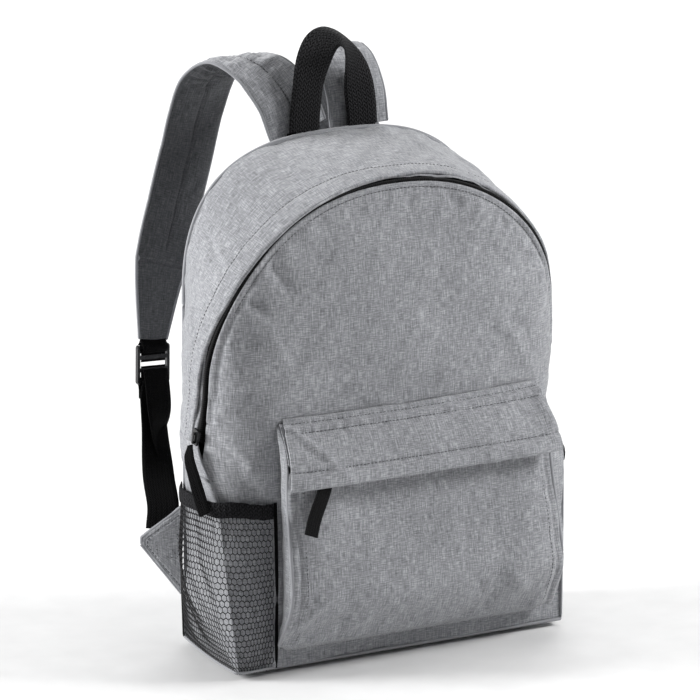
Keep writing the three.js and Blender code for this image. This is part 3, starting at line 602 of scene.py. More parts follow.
FRONT_FOLDS = (
    ((-116, 326), (-96, 300), 6, -2.8), ((-134, 302), (-117, 280), 6, -2.5),
    ((-75, 357), (-66, 345), 5, -1.6), ((-118, 206), (-60, 262), 7, 1.3), ((118, 212), (84, 262), 7, 1.0),
    ((-100, 240), (-128, 290), 6, 1.1), ((20, 208), (70, 246), 9, 0.8),
    ((-150, 180), (-120, 128), 6, -1.6), ((150, 180), (120, 128), 6, -1.6),
)


def front_relief(points, reach, low_count):
    x, z = points[..., 0], points[..., 2]
    relief = 1.8 * ripple(x, z, 11, 120) + 0.5 * ripple(x, z, 12, 38)
    edge = np.full(x.shape, 99.0)
    edge[:, low_count:] = (1 - reach) * ZIP_R
    high = np.clip((z - ZIP_END_Z) / 20, 0, 1)
    beside = (1 - np.abs(x) / front_half(z)) * ZIP_R + (1 - high) * 99
    edge = np.minimum(edge, np.where(z < FOLD_Z, beside, 99))
    around = np.arctan2(z - FOLD_Z, x) * ZIP_R
    seam = -0.9 * gauss(edge, 4.5, 1.3) + 0.7 * gauss(edge, 1.2, 1.6)
    pucker = 1.1 * ripple(around, edge * 0.3, 21, 20) * gauss(edge, 13, 9)
    dents = ((54, 352, 9, -1.8), (-128, 262, 13, -1.6), (-40, 366, 8, -1.2), (96, 330, 8, -1.3))
    for cx, cz, size, depth in dents:
        relief = relief + 2.0 * depth * np.exp(-(((x - cx) ** 2 + (z - cz) ** 2) / (0.75 * size) ** 2))
    relief = relief + creases(x, z, FRONT_FOLDS, 1.6)
    return relief * smooth(edge, 4, 12) + seam + pucker


def make_front_panel():
    points, reach, low_count = front_grid()
    relief = front_relief(points, reach, low_count)
    yarns = (points[..., 0], points[..., 2])
    panel = sheet_mesh("front_panel", points, FORWARD, GREY, relief=relief, yarns=yarns)
    fold_with_flap(panel, "grey_cloth", "front_panel_lower", "front_panel_upper")
    point, ahead, _, outward = zip_frame(ZIP_STEPS)
    line = point + ahead * 6.4 + outward * -0.55
    front_out = unit(np.cross(np.gradient(line, axis=0), ahead))
    if front_out[ZIP_STEPS // 2, 1] > 0:
        front_out = -front_out
    line = line + front_out * 0.1
    rows = stitch_row(line, front_out)
    fold_with_flap(stitches("zip_topstitch_front", rows, THREAD_WITH_PAINTED_SHADOW), "grey_cloth")


# ---------- gusset, storm flap, side and bottom panels ----------
# Each fold across the gusset: its place along the arch, how far it slants either way, and its depth.
GUSSET_FOLDS = (
    (118, 24, 1.8), (205, -18, -1.6), (262, 20, 1.6), (322, -14, -1.5), (560, 20, 1.4), (700, -22, 1.6),
)


def make_gusset():
    t = np.linspace(0, 1, 301)
    s = np.linspace(0, 0.962, 40)
    points = gusset(s[:, None], t[None])
    around, deep = np.broadcast_arrays(t[None] * ARCH_LENGTH, s[:, None] * GUSSET_DEPTH)
    relief = 1.5 * ripple(around, deep, 31, 110) + 0.5 * ripple(around, deep, 32, 30)
    seam = gauss(deep, 0, 5)
    relief = relief - 0.8 * seam * (0.6 + 0.6 * ripple(around, deep, 33, 16))
    for place, slant, depth in GUSSET_FOLDS:
        relief = relief + crease(around, deep, (place - slant, 8), (place + slant, 70), 6, depth)
    outside = stack(points[..., 0], 0, np.maximum(points[..., 2] - FOLD_Z, 0))
    band = sheet_mesh("gusset_cloth", points, outside, GREY, relief=relief)
    settle(band, "root", "grey_cloth", "gusset_band")

    t = np.linspace(0.002, 0.998, 321)
    point, back = along(ZIP, t), along(BACK, t)
    reach = np.linalg.norm(back - point, axis=1)
    open_gap = 0.4 - 1.6 * gauss(t, 0.36, 0.12) + 6.2 * gauss(t, 0, 0.13)
    open_gap = open_gap + 5.4 * gauss(t, 0.58, 0.10) + 0.8 * smooth(t, 0.7, 0.9)
    width = np.linspace(0, 1, 22)
    from_zip = open_gap[None] + (21.5 - open_gap[None]) * width[:, None]
    s = 1 - from_zip / reach[None]
    points = gusset(s, np.broadcast_to(t[None], s.shape))
    roll = np.sqrt(np.clip(1 - (1 - np.clip(width / 0.16, 0, 1)) ** 2, 0, 1))
    seam = 1 - 0.85 * smooth(width, 0.86, 1.0)
    around = np.broadcast_to(t[None] * ARCH_LENGTH, s.shape)
    relief = 0.4 + 2.0 * (roll * seam)[:, None]
    relief = relief + 0.55 * ripple(around, from_zip, 41, 26) * np.sin(math.pi * width)[:, None]
    relief = relief + 0.8 * ripple(around, from_zip * 0, 42, 120) - 0.9 * gauss(from_zip, 19, 1.1)
    outside = stack(points[..., 0], -30, np.maximum(points[..., 2] - FOLD_Z, 0))
    hem = sheet_mesh("storm_flap_cloth", points, outside, GREY, thick=1.9, relief=relief, weave=(0, 40))
    settle(hem, "root", "grey_cloth", "storm_flap")
    at = 1 - 19.0 / reach
    line = gusset(at, t)
    out = unit(stack(line[:, 0], 0, np.maximum(line[:, 2] - FOLD_Z, 0)))
    around = t * ARCH_LENGTH
    height = 1.7 + 0.2 * ripple(around, 0 * t + 19, 41, 26) + 0.8 * ripple(around, 0 * t, 42, 120)
    stitches("storm_flap_stitch", stitch_row(line + out * height[:, None], out), THREAD_WITH_PAINTED_SHADOW, "root")


def make_sides():
    for name, way in SIDES.items():
        z = np.linspace(WALL_LOW, ZIP_END_Z + 2, 60)
        s = np.linspace(0, 0.995, 44)
        points = left_side(s[:, None], z[None])
        deep, tall = np.broadcast_arrays(s[:, None] * GUSSET_DEPTH, z[None])
        relief = 1.2 * ripple(deep + 300 * way, tall, 51, 90)
        relief = relief + crease(deep, tall, (20, 170), (80, 120), 7, 1.4)
        relief = relief * np.minimum(tall / 30, 1) * np.minimum((GUSSET_DEPTH - deep) / 12, 1)
        relief = relief - 0.9 * gauss(tall - SIDE_SEAM_Z, 5, 3.5)
        panel = sheet_mesh(f"side_cloth_{name}", mirrored(points, way), (-way, 0, 0), GREY, relief=relief)
        settle(panel, "root", "grey_cloth", f"side_panel_{name}")
        level = mix(SIDE_SEAM_Z + 6, SIDE_SEAM_Z, smooth(np.linspace(0, 1, 40), 0, 1))
        seam = left_side(np.linspace(0.02, 0.98, 40), level) + np.array([-0.6, 0, 0])
        seam_cord(f"side_seam_{name}", seam, 1.0, way)
        z = np.linspace(2, ZIP_END_Z, 60)
        ridge = left_side(np.full(60, 1.0), z) + np.array([-0.3, -0.2, 0])
        seam_cord(f"corner_seam_{name}", ridge, 1.0, way)


def make_bottom():
    x = np.linspace(-1, 1, 60)
    y = np.linspace(0.004, 1, 30)
    half = mix(BACK_HALF, BASE_HALF, y)
    points = stack(x[:, None] * half[None], -BASE_DEPTH * y[None], 0.05)
    relief = -0.9 * np.exp(-(((1 - np.abs(x[:, None])) * 140 / 6) ** 2)) + np.zeros((60, 30))
    relief = np.minimum(relief + 0.4 * ripple(points[..., 0], points[..., 1], 61, 80) - 0.4, 0)
    floor = sheet_mesh("bottom_cloth", points, (0, 0, -1), GREY, thick=1.3, relief=relief)
    settle(floor, "root", "dark_cloth", "bottom_panel")
    edge = [(-BACK_HALF, -1.0), (-BASE_HALF, -BASE_DEPTH), (BASE_HALF, -BASE_DEPTH), (BACK_HALF, -1.0)]
    route = []
    for (x0, y0), (x1, y1) in zip(edge, edge[1:]):
        part = np.linspace(0, 1, 30)
        route.append(stack(mix(x0, x1, part), mix(y0, y1, part), 1.3))
    seam_cord("base_piping", np.concatenate(route), 1.25)


# ---------- back panel ----------
def outline_half(z, inset=0.0):
    """Half width of the back panel at a height."""
    rise = BACK_TOP - inset - BACK_SHOULDER_Z
    part = np.clip((z - BACK_SHOULDER_Z) / rise, 0, 1)
    return (BACK_HALF - inset) * (1 - part**2.7) ** (1 / 2.7)


def make_back():
    v = np.linspace(0, 1, 110)
    z = WALL_LOW + (BACK_TOP - 0.4 - WALL_LOW) * (1 - (1 - v) ** 1.6)
    u = np.linspace(-1, 1, 90)
    x = u[:, None] * outline_half(z)[None]
    points = stack(x, -0.4, z[None])
    rim = (1 - np.abs(u[:, None])) * BACK_HALF
    crown = smooth(np.minimum(np.minimum(rim, (BACK_TOP - z[None]) * 0.9), z[None]), 0, 26)
    channel = np.zeros(x.shape)
    for line_x in QUILT_X:
        length = smooth(z[None], 40, 60) * (1 - smooth(z[None], 330, 350))
        channel = channel + gauss(x, line_x, 3.2) * length
    for line_z in QUILT_Z:
        channel = channel + gauss(z[None], line_z, 3.2) * (np.abs(x) < 104)
    relief = 5.5 * crown - 4.0 * np.clip(channel, 0, 1) * crown - 1.0 + 0.5 * ripple(x, z[None], 71, 60)
    panel = sheet_mesh("back_cloth", points, (0, 1, 0), GREY, thick=2.0, relief=relief)
    settle(panel, "root", "grey_cloth", "back_panel", "back_foam")
    lining = stack(u[:, None] * outline_half(z, 7)[None], -7.6, z[None])
    slack = 0.5 * ripple(x, z[None], 72, 50)
    inside = sheet_mesh("back_inside", lining, FORWARD, LINING, thick=0.8, relief=slack)
    settle(inside, "root", "dark_cloth", "back_lining")
    rows = []
    for line_z in QUILT_Z:
        line_x = np.linspace(-100, 100, 80)
        rows += stitch_row(stack(line_x, 0.2, line_z), (0, 1, 0))
    for line_x in QUILT_X:
        line_z = np.linspace(60, 332, 80)
        rows += stitch_row(stack(line_x, 0.2, line_z), (0, 1, 0))
    stitches("back_quilting", rows, THREAD_WITH_PAINTED_SHADOW, "root")
    angle = np.linspace(0, math.pi, 160)
    arch = stack(BACK_HALF * np.sign(np.cos(angle)) * np.abs(np.cos(angle)) ** (2 / 2.7), -0.6,
                 BACK_SHOULDER_Z + (BACK_TOP - BACK_SHOULDER_Z) * np.sin(angle) ** (2 / 2.7))
    legs = np.linspace(2, BACK_SHOULDER_Z - 2, 80)
    right = stack(BACK_HALF, -0.6, legs)
    left = stack(-BACK_HALF, -0.6, legs[::-1])
    route = even(np.concatenate([right, arch, left]), 420)
    route[:, 2] -= 0.6
    seam_cord("back_piping", route, 1.7)


# ---------- front pocket ----------
POCKET_ZIP_Z = 163.0
POCKET_TOP = 198.0
POCKET_FOLDS = (
    ((-112, 34), (-84, 62), 5, 2.2), ((-106, 26), (-60, 44), 5, -1.8), ((-88, 24), (-40, 40), 4, 1.6),
    ((108, 32), (76, 58), 6, 1.8), ((-30, 22), (40, 36), 6, 1.0), ((-112, 150), (-92, 96), 6, 1.2),
    ((112, 150), (94, 90), 7, 1.4), ((-70, 24), (-66, 40), 3, -1.5), ((60, 24), (66, 42), 4, -1.2),
)
FLAP_FOLDS = (
    ((-104, 192), (-82, 172), 3.5, 3.2), ((-100, 186), (-86, 170), 3, -2.0), ((-82, 172), (-69, 156), 4, 1.5),
    ((-103, 184), (-53, 178), 5, -1.0), ((122, 196), (107, 187), 4, -3.0), ((118, 186), (124, 166), 5, 2.2),
    ((40, 192), (70, 166), 7, 0.9),
)


def pocket_face(u, z):
    up = np.clip((z - POCKET_LOW) / (POCKET_ZIP_Z - POCKET_LOW), -0.05, 1.05)
    belly = np.sin(math.pi / 2 * np.minimum(np.maximum(up, 0) / 0.36, 1))
    lean = mix(-145, -128, smooth(up, 0.16, 1))
    half = 117 + 6 * (1 - up)
    return stack(u * half + POCKET_X, mix(-124, lean, belly) + 7 * np.abs(u) ** 8, z)


def front_y(x, z):
    return lower_front(x / front_half(z), z)[..., 1]


def flap_face(u, z):
    up = np.clip((z - FLAP_LOW) / (POCKET_TOP - FLAP_LOW), 0, 1.1)
    edge = 4 * np.abs(u) ** 6
    x = u * np.where(u < 0, mix(124, 113, up), mix(120, 117, up)) + POCKET_X
    return stack(x, mix(-142 + edge, front_y(x, POCKET_TOP + 0 * x) - 3.4, up**1.6), z)


def make_pocket():
    u = np.sin(math.pi / 2 * np.linspace(-1, 1, 121))
    z = np.linspace(POCKET_LOW - 1, POCKET_ZIP_Z - 2.5, 90)
    points = pocket_face(u[:, None], z[None])
    x, tall = points[..., 0], points[..., 2]
    relief = 1.5 * ripple(x, tall, 81, 100) + 0.5 * ripple(x, tall, 82, 32)
    relief = relief + creases(x, tall, POCKET_FOLDS)
    relief = relief + 0.7 * ripple(x, tall * 0.2, 83, 13) * gauss(tall, POCKET_LOW, 7)
    rim = (1 - np.abs(u[:, None])) * 118
    relief = relief - 1.1 * gauss(rim, 6.5, 1.5) + 0.8 * gauss(rim, 2.0, 2.2)
    panel = sheet_mesh("pocket_cloth", points, FORWARD, GREY, relief=relief, weave=(7, 3))
    settle(panel, "root", "grey_cloth", "pocket_panel")

    z = np.linspace(POCKET_ZIP_Z + 2.5, POCKET_TOP - 2, 24)
    up = (z - POCKET_ZIP_Z) / (POCKET_TOP - POCKET_ZIP_Z)
    x = u[:, None] * 116 + POCKET_X
    top_y = front_y(x, POCKET_TOP + 0 * x) - 1.5
    brow = stack(x, mix(-128 + 6 * np.abs(u[:, None]) ** 3, top_y, up[None] ** 1.5), z[None])
    settle(sheet_mesh("pocket_brow_cloth", brow, FORWARD, GREY), "root", "grey_cloth", "pocket_brow")
    make_pocket_flap()
    make_pocket_sides()
    make_pocket_zip()


def make_pocket_zip():
    for name, way, low, high in (("lower", -1, -9, -0.3), ("upper", 1, 0.3, 9)):
        line = np.linspace(-0.93, 0.93, 80)
        z = POCKET_ZIP_Z + np.linspace(low, high, 5)
        y = -124.6 + 6 * np.abs(line[:, None]) ** 4 + 0 * z[None]
        tape = stack(line[:, None] * POCKET_HALF + POCKET_X, y, z[None])
        made = sheet_mesh(f"pocket_tape_{name}", tape, FORWARD, ZIP_TAPE, thick=0.7)
        settle(made, "root", "zip_tape", f"pocket_zip_tape_{name}")
        teeth = []
        for x in np.arange(-104 + 0.45 * way, 104, 1.8):
            back = -125.4 + 6 * abs(x / POCKET_HALF) ** 4
            turn = ((0.3, 2.4), (-0.6, 0.8), (-0.5, -0.7))
            teeth.append([(x + POCKET_X, back + out, POCKET_ZIP_Z + reach * way) for out, reach in turn])
        settle(tube_mesh(f"pocket_coil_{name}", teeth, 0.5, NYLON, sides=5), "root", "zip_tape")


def make_pocket_flap():
    u = np.sin(math.pi / 2 * np.linspace(-1, 1, 151))
    v = np.linspace(0, 1, 46)
    z = mix(FLAP_LOW, POCKET_TOP + 1.6, v)
    points = flap_face(u[:, None], z[None])
    x, tall = points[..., 0], points[..., 2]
    relief = 1.0 * ripple(x, tall, 91, 90) + 0.35 * ripple(x, tall, 92, 26)
    for line, depth in ((189.6, -1.3), (195.8, -1.1), (163.5, -1.2)):
        relief = relief + depth * gauss(tall, line, 1.2)
    relief = relief + 0.9 * gauss(tall, 192.7, 2.2) + 0.9 * gauss(tall, 155, 5.5)
    relief = relief + creases(x, tall, FLAP_FOLDS)
    relief = relief + 0.5 * ripple(x, tall * 0.3, 93, 11) * gauss(tall, 192, 6)
    flap = sheet_mesh("pocket_flap_cloth", points, FORWARD, GREY, thick=1.8, relief=relief, weave=(0, 60))
    settle(flap, "root", "grey_cloth", "pocket_flap")
    rows = []
    part = np.linspace(-0.985, 0.985, 200)
    for line, off in ((189.6, 0.9), (195.8, 0.8), (163.5, 0.8)):
        path = flap_face(part, np.full(200, line))
        x, tall = path[:, 0], path[:, 2]
        height = 1.0 * ripple(x, tall, 91, 90) + 0.35 * ripple(x, tall, 92, 26)
        out = np.array([0, -0.86, 0.5]) if line > 180 else np.array([0, -0.97, 0.2])
        rows += stitch_row(path + out * (height - off)[:, None], out)
    stitches("pocket_flap_stitch", rows, THREAD_WITH_PAINTED_SHADOW, "root")


def make_pocket_sides():
    for name, way in SIDES.items():
        z = np.linspace(POCKET_LOW - 4, POCKET_TOP - 4, 60)
        s = np.linspace(0, 1, 16)
        out = -way
        x = out * POCKET_HALF + POCKET_X
        wall = stack(x, front_y(x + 0 * z, z) - 0.4, z)
        rim = pocket_face(np.full(60, 1.0 * out), z)
        up = np.clip((z - POCKET_ZIP_Z) / (POCKET_TOP - POCKET_ZIP_Z), 0, 1)
        top_y = front_y(out * 113.0 + POCKET_X + 0 * z, POCKET_TOP + 0 * z) - 1
        high = stack(out * 116.5 + POCKET_X, mix(-121, top_y, up**1.5), z)
        rim = np.where((z < POCKET_ZIP_Z)[:, None], rim, high) + np.array([-0.6 * out, 1.4, 0])
        points = wall[None] + (rim - wall)[None] * s[:, None, None]
        points[..., 0] += 2.5 * out * np.sin(math.pi * s)[:, None]
        relief = 0.8 * ripple(s[:, None] * 30, z[None] + 50 * way, 101, 26) * np.sin(math.pi * s)[:, None]
        side = sheet_mesh(f"pocket_side_cloth_{name}", points, (-way, 0, 0), GREY, relief=relief)
        settle(side, "root", "grey_cloth", f"pocket_side_{name}")
        edge = pocket_face(np.full(60, 1.0 * out), np.linspace(POCKET_LOW, POCKET_ZIP_Z, 60))
        seam_cord(f"pocket_piping_{name}", edge, 1.5, sides=8)
        rows = []
        for u, sink in ((0.958, 0.9), (0.905, -0.1)):
            path = pocket_face(np.full(90, u * out), np.linspace(POCKET_LOW + 3, FLAP_LOW - 2, 90))
            x, tall = path[:, 0], path[:, 2]
            height = 1.5 * ripple(x, tall, 81, 100) + 0.5 * ripple(x, tall, 82, 32)
            rows += stitch_row(path + FORWARD * (height - sink)[:, None], FORWARD)
        stitches(f"pocket_edge_stitch_{name}", rows, THREAD_WITH_PAINTED_SHADOW, "root")
    u = np.linspace(-1, 1, 80)
    s = np.linspace(0, 1, 12)
    low = stack(u * 110 + POCKET_X, -BASE_DEPTH - 0.8, POCKET_LOW - 9 + 0 * u)
    high = pocket_face(u * 0.99, np.full(80, POCKET_LOW - 0.5)) + np.array([0, 0.8, 0])
    points = low[:, None] + (high - low)[:, None] * s[None, :, None]
    relief = 1.0 * ripple(points[..., 0], points[..., 1], 111, 24) * np.sin(math.pi * s)[None]
    bottom = sheet_mesh("pocket_bottom_cloth", points, (0, -0.5, -1), GREY, relief=relief)
    settle(bottom, "root", "dark_cloth", "pocket_bottom")


# ---------- mesh side pockets ----------
# How far each mesh pocket stands off (its belly, its mouth), how much of the wall swells, where it ends.
MESH_SHAPES = {"left": (14, 5, 2, 1.95), "right": (9, 5, 1, 0.95)}
MESH_FOLDS = (
    ((20, 112), (70, 40), 7, 3.4), ((60, 116), (96, 30), 7, -3.0), ((96, 114), (130, 50), 6, 2.2),
    ((10, 70), (60, 12), 8, -2.2), ((80, 60), (120, 14), 8, 2.4),
)


def mouth_height(q):
    return MESH_TOP + MOUTH_RISE * np.where(q < 1, smooth(q, 0, 1), mix(1, 0.45, q - 1))


def left_wall(q, z):
    side = left_side(np.minimum(q, 1), z)
    u = -mix(1, MESH_FRONT_X / front_half(z), np.maximum(q, 1) - 1)
    return np.where((q <= 1)[..., None], side, lower_front(u, z))


def mesh_wall(shape, q, z, extra=0.0):
    """The mesh off the wall: held at its seams and floor, full in the middle, drawn in at the mouth."""
    bulge, mouth, span, _ = shape
    q, z = np.broadcast_arrays(q, z)
    at = np.clip(q, 0, 2)
    run = left_wall(np.minimum(at + 0.3, 2), z) - left_wall(np.maximum(at - 0.3, 0), z)
    outward = unit(stack(run[..., 1], -run[..., 0], 0))
    flare = np.maximum(np.sin(math.pi * at / span), 0) ** 0.8
    up = z / (mouth_height(at) + BINDING_HEIGHT)
    fill = mix(bulge * np.maximum(np.sin(math.pi * np.minimum(up, 1)), 0) ** 0.7, mouth, smooth(up, 0.55, 1))
    stand = 2.1 + fill * flare * np.where(at > 1, mix(1, 0.35, at - 1), 1)
    arc = at * MESH_RUN
    folds = 1.4 * ripple(arc * 0.7 + z * 0.5, z * 0.6 - arc * 0.2, 121, 60)
    folds = folds + creases(arc, z, MESH_FOLDS)
    stand = stand + folds * flare * np.minimum(z / 20, 1) + extra
    return left_wall(at, z) + outward * stand[..., None]


def make_mesh_pockets():
    pitch, rise = 4.0, 4.3
    levels = np.arange(WALL_LOW + 0.5, MESH_TOP + 1.5, rise)
    for name, way in SIDES.items():
        shape = MESH_SHAPES[name]
        end = shape[3]
        q = np.linspace(0.03, end + 0.02, 700)
        span = mesh_wall(shape, q, np.full(700, 60.0))
        run = run_length(span)
        columns = np.arange(0, run[-1], pitch / 2)
        at = np.interp(columns, run, q)
        stretch = mouth_height(at) / MESH_TOP
        cords = []
        for number, level in enumerate(levels):
            zig = level + 0.7 * np.where((np.arange(len(columns)) + number) % 2 == 0, 1, -1)
            cords.append(mirrored(mesh_wall(shape, at, np.maximum(zig * stretch, 0.8), -0.6), way))
            if number + 1 < len(levels):
                for k in range(number % 2, len(columns), 2):
                    ends = np.array([zig[k], level + rise - 0.7]) * stretch[k]
                    cords.append(mirrored(mesh_wall(shape, np.full(2, at[k]), ends, -0.6), way))
        net = tube_mesh(f"mesh_net_{name}", cords, 0.47, NYLON, sides=4)
        settle(net, "root", "black_mesh", f"mesh_pocket_{name}")
        at = np.linspace(0.02, end + 0.02, 120)
        part = np.linspace(0, 1, 9)
        dip = 1.3 * ripple(at * MESH_RUN, 0 * at, 131, 60)
        z = (mouth_height(at) + dip)[:, None] - 0.5 + (BINDING_HEIGHT + 0.3) * part[None]
        points = mesh_wall(shape, np.broadcast_to(at[:, None], z.shape), z, 0.5)
        gather = 0.25 * np.sin(at * MESH_RUN * math.tau / 5.5)[:, None]
        relief = 0.7 * np.sin(math.pi * part)[None] + gather
        points, outside = mirrored(points, way), (-way, -0.6, 0)
        binding = sheet_mesh(f"mesh_binding_cloth_{name}", points, outside, ELASTIC, thick=1.6, relief=relief)
        settle(binding, "root", "black_webbing", f"mesh_binding_{name}")
        z = np.linspace(WALL_LOW, mouth_height(end) + BINDING_HEIGHT, 70)
        part = np.linspace(0, 1, 4)
        if end < 1:
            tape = left_side(mix(0.962, 0.986, part)[:, None], z[None]) + np.array([-1.6, 0, 0])
        else:
            x = mix(MESH_FRONT_X + 0.5, MESH_FRONT_X - 2.2, part)
            tape = lower_front(-x[:, None] / front_half(z)[None], z[None]) + np.array([0, -1.6, 0])
        edge = sheet_mesh(f"mesh_edge_cloth_{name}", mirrored(tape, way), (-way, -1, 0), ZIP_TAPE, thick=1.2)
        settle(edge, "root", "black_webbing", f"mesh_edge_tape_{name}")
        foot = mesh_wall(shape, np.linspace(0.03, end, 90), np.full(90, 2.2), -0.4)
        seam_cord(f"mesh_foot_{name}", foot, 1.1, way, slot="black_mesh")
        z = np.linspace(2, mouth_height(0.02) + BINDING_HEIGHT - 1, 60)
        back = mesh_wall(shape, np.full(60, 0.02), z, 0)
        seam_cord(f"mesh_back_edge_{name}", back, 0.9, way, material=EDGE_THREAD, slot="black_mesh")


# ---------- routes, bands and straps ----------
def spline(points, count):
    """A centripetal Catmull-Rom curve through the points, sampled evenly by length."""
    p = np.array(points, float)
    p = np.concatenate([[2 * p[0] - p[1]], p, [2 * p[-1] - p[-2]]])
    made = []
    for k in range(1, len(p) - 2):
        a, b, c, d = p[k - 1:k + 3]
        u, v, w = (np.linalg.norm(q - r) ** 0.5 for q, r in ((b, a), (c, b), (d, c)))
        first = ((b - a) / u - (c - a) / (u + v) + (c - b) / v) * v
        last = ((c - b) / v - (d - b) / (v + w) + (d - c) / w) * v
        t = np.linspace(0, 1, 60, endpoint=k == len(p) - 3)[:, None]
        square, cube = 3 * (c - b) - 2 * first - last, 2 * (b - c) + first + last
        made.append(b + first * t + square * t**2 + cube * t**3)
    return even(np.concatenate(made), count)


def frames(route, side):
    """Width and face directions along a route, with the face on the outside of the left strap's bend."""
    tangent = unit(np.gradient(route, axis=0))
    wide = unit(side - tangent * (side * tangent).sum(1, keepdims=True))
    return wide, np.cross(wide, tangent)


def spread(route, wide, u, width):
    """Points across a band: its route moved sideways by u, from -0.5 to 0.5 of its width."""
    return route[None] + wide[None] * (u[:, None] * width[None])[..., None]


def band_mesh(name, route, side, width, material, thick=1.4, lift=0.0, across=9, relief=None, way=1):
    wide, face = frames(route, side)
    width = np.broadcast_to(width, len(route))
    u = np.linspace(-0.5, 0.5, across)
    points = spread(route, wide, u, width) + face[None] * (lift + thick / 2)
    if relief is not None:
        points = points + face[None] * relief[..., None]
    outside = np.broadcast_to(face[None], points.shape)
    return sheet_mesh(name, mirrored(points, way), mirrored(outside, way), material, thick=thick)


def make_haul_loop():
    root = BACK_TOP + 1
    half = [(-26, 0.4, root - 0.8), (-25, 0.4, root + 16), (-19, 1, root + 50), (-9, 2, root + 69)]
    other = [(-x, y, z) for x, y, z in half[::-1]]
    route = spline([*half, (0, 2.5, root + 73), *other], 180)
    t = np.linspace(0, 1, 180)
    turn = math.pi * smooth(t, 0.2, 0.86)
    side = stack(np.cos(turn), -np.sin(turn), -0.45 * np.sin(turn))
    cupped = 1.1 * np.cos(math.tau * np.linspace(-0.5, 0.5, 9))[:, None] * gauss(t, 0.5, 0.12)[None]
    loop = band_mesh("haul_loop_webbing", route, side, 27.0, LOOP_WEBBING, thick=1.8, relief=cupped)
    settle(loop, "loop", "black_webbing", "haul_loop")
    for x, name in ((-25.5, "left"), (25.5, "right")):
        z = np.linspace(root - 6, root - 1.2, 6)
        u = np.linspace(-14, 14, 16)
        points = stack(x + u[:, None], 1.6, z[None])
        patch = sheet_mesh(f"loop_root_{name}", points, FORWARD, WEBBING, thick=3.0)
        settle(patch, "root", "black_webbing")


STRAP_ROUTES = {
    "left": ((-27, 6.5, 393), (-36, 13, 420), (-49, 30, 441), (-61, 52, 445), (-70, 73, 429), (-76, 84, 399),
             (-82, 87, 370), (-99, 80, 325), (-116, 70, 281), (-126, 65, 226)),
    "right": ((-27, 6.5, 393), (-27, 13, 420), (-27, 30, 441), (-29, 52, 445), (-36, 73, 430), (-47, 84, 401),
              (-60, 87, 370), (-87, 80, 325), (-111, 70, 281), (-126, 65, 226)),
}
WEBBING_ROUTE = ((-129, 60.5, 186), (-133, 50, 158), (-140, 31, 124), (-146, 13, 105))
STRAP_WIDTH = 51.0
ROOT_PART = 0.09
TIP_PART = 0.815
STEPS = 300
STRAP_END = np.array(STRAP_ROUTES["left"][-1], float)
DOWN = unit(np.array(WEBBING_ROUTE[0], float) - STRAP_END)
BAR_WAY = unit(np.array([1, 0.18, 0]) - DOWN * (np.array([1, 0.18, 0]) @ DOWN))
BAR_FACE = np.cross(BAR_WAY, DOWN)
TAB_WAY = unit(np.array([-0.84, 0.54, 0.0]))


def strap_parts(name):
    route = spline(STRAP_ROUTES[name], STEPS)
    t = np.linspace(0, 1, STEPS)
    side = unit(stack(1, mix(0, 0.18, smooth(t, 0.2, 0.7)), 0))
    width = mix(STRAP_WIDTH, 27.5, np.clip((t - TIP_PART) / (1 - TIP_PART), 0, 1))
    thick = mix(2.2, 4.4, smooth(t, 0.0, 0.10)) - 2.9 * smooth(t, TIP_PART - 0.02, TIP_PART + 0.02)
    return route, t, side, width, thick


def strap_height(u, t, v_mm, outer, seed):
    """The strap's crown and unevenness: padded, quilted down its middle, creased over the bend."""
    crown = np.clip(1 - np.abs(2 * u) ** 3.2, 0, 1) ** 0.6
    bend = gauss(t, 0.22, 0.12)
    wrinkle = 0.9 * ripple(u * 30, v_mm, seed, 16) + 0.7 * ripple(u * 8, v_mm, seed + 1, 9)
    soft = 0.7 * ripple(u * 56, v_mm, seed + 2, 70)
    depth = (t > 0.03) * mix(1.7, 0.15, smooth(t, TIP_PART - 0.05, TIP_PART))
    line = gauss(u * STRAP_WIDTH, 0, 1.6) * depth
    calm = mix(1, 0.3, smooth(t, TIP_PART - 0.03, TIP_PART))
    return crown + 0 * t, (wrinkle * bend * (1.3 if outer else 3.8) + soft * calm - line) * crown


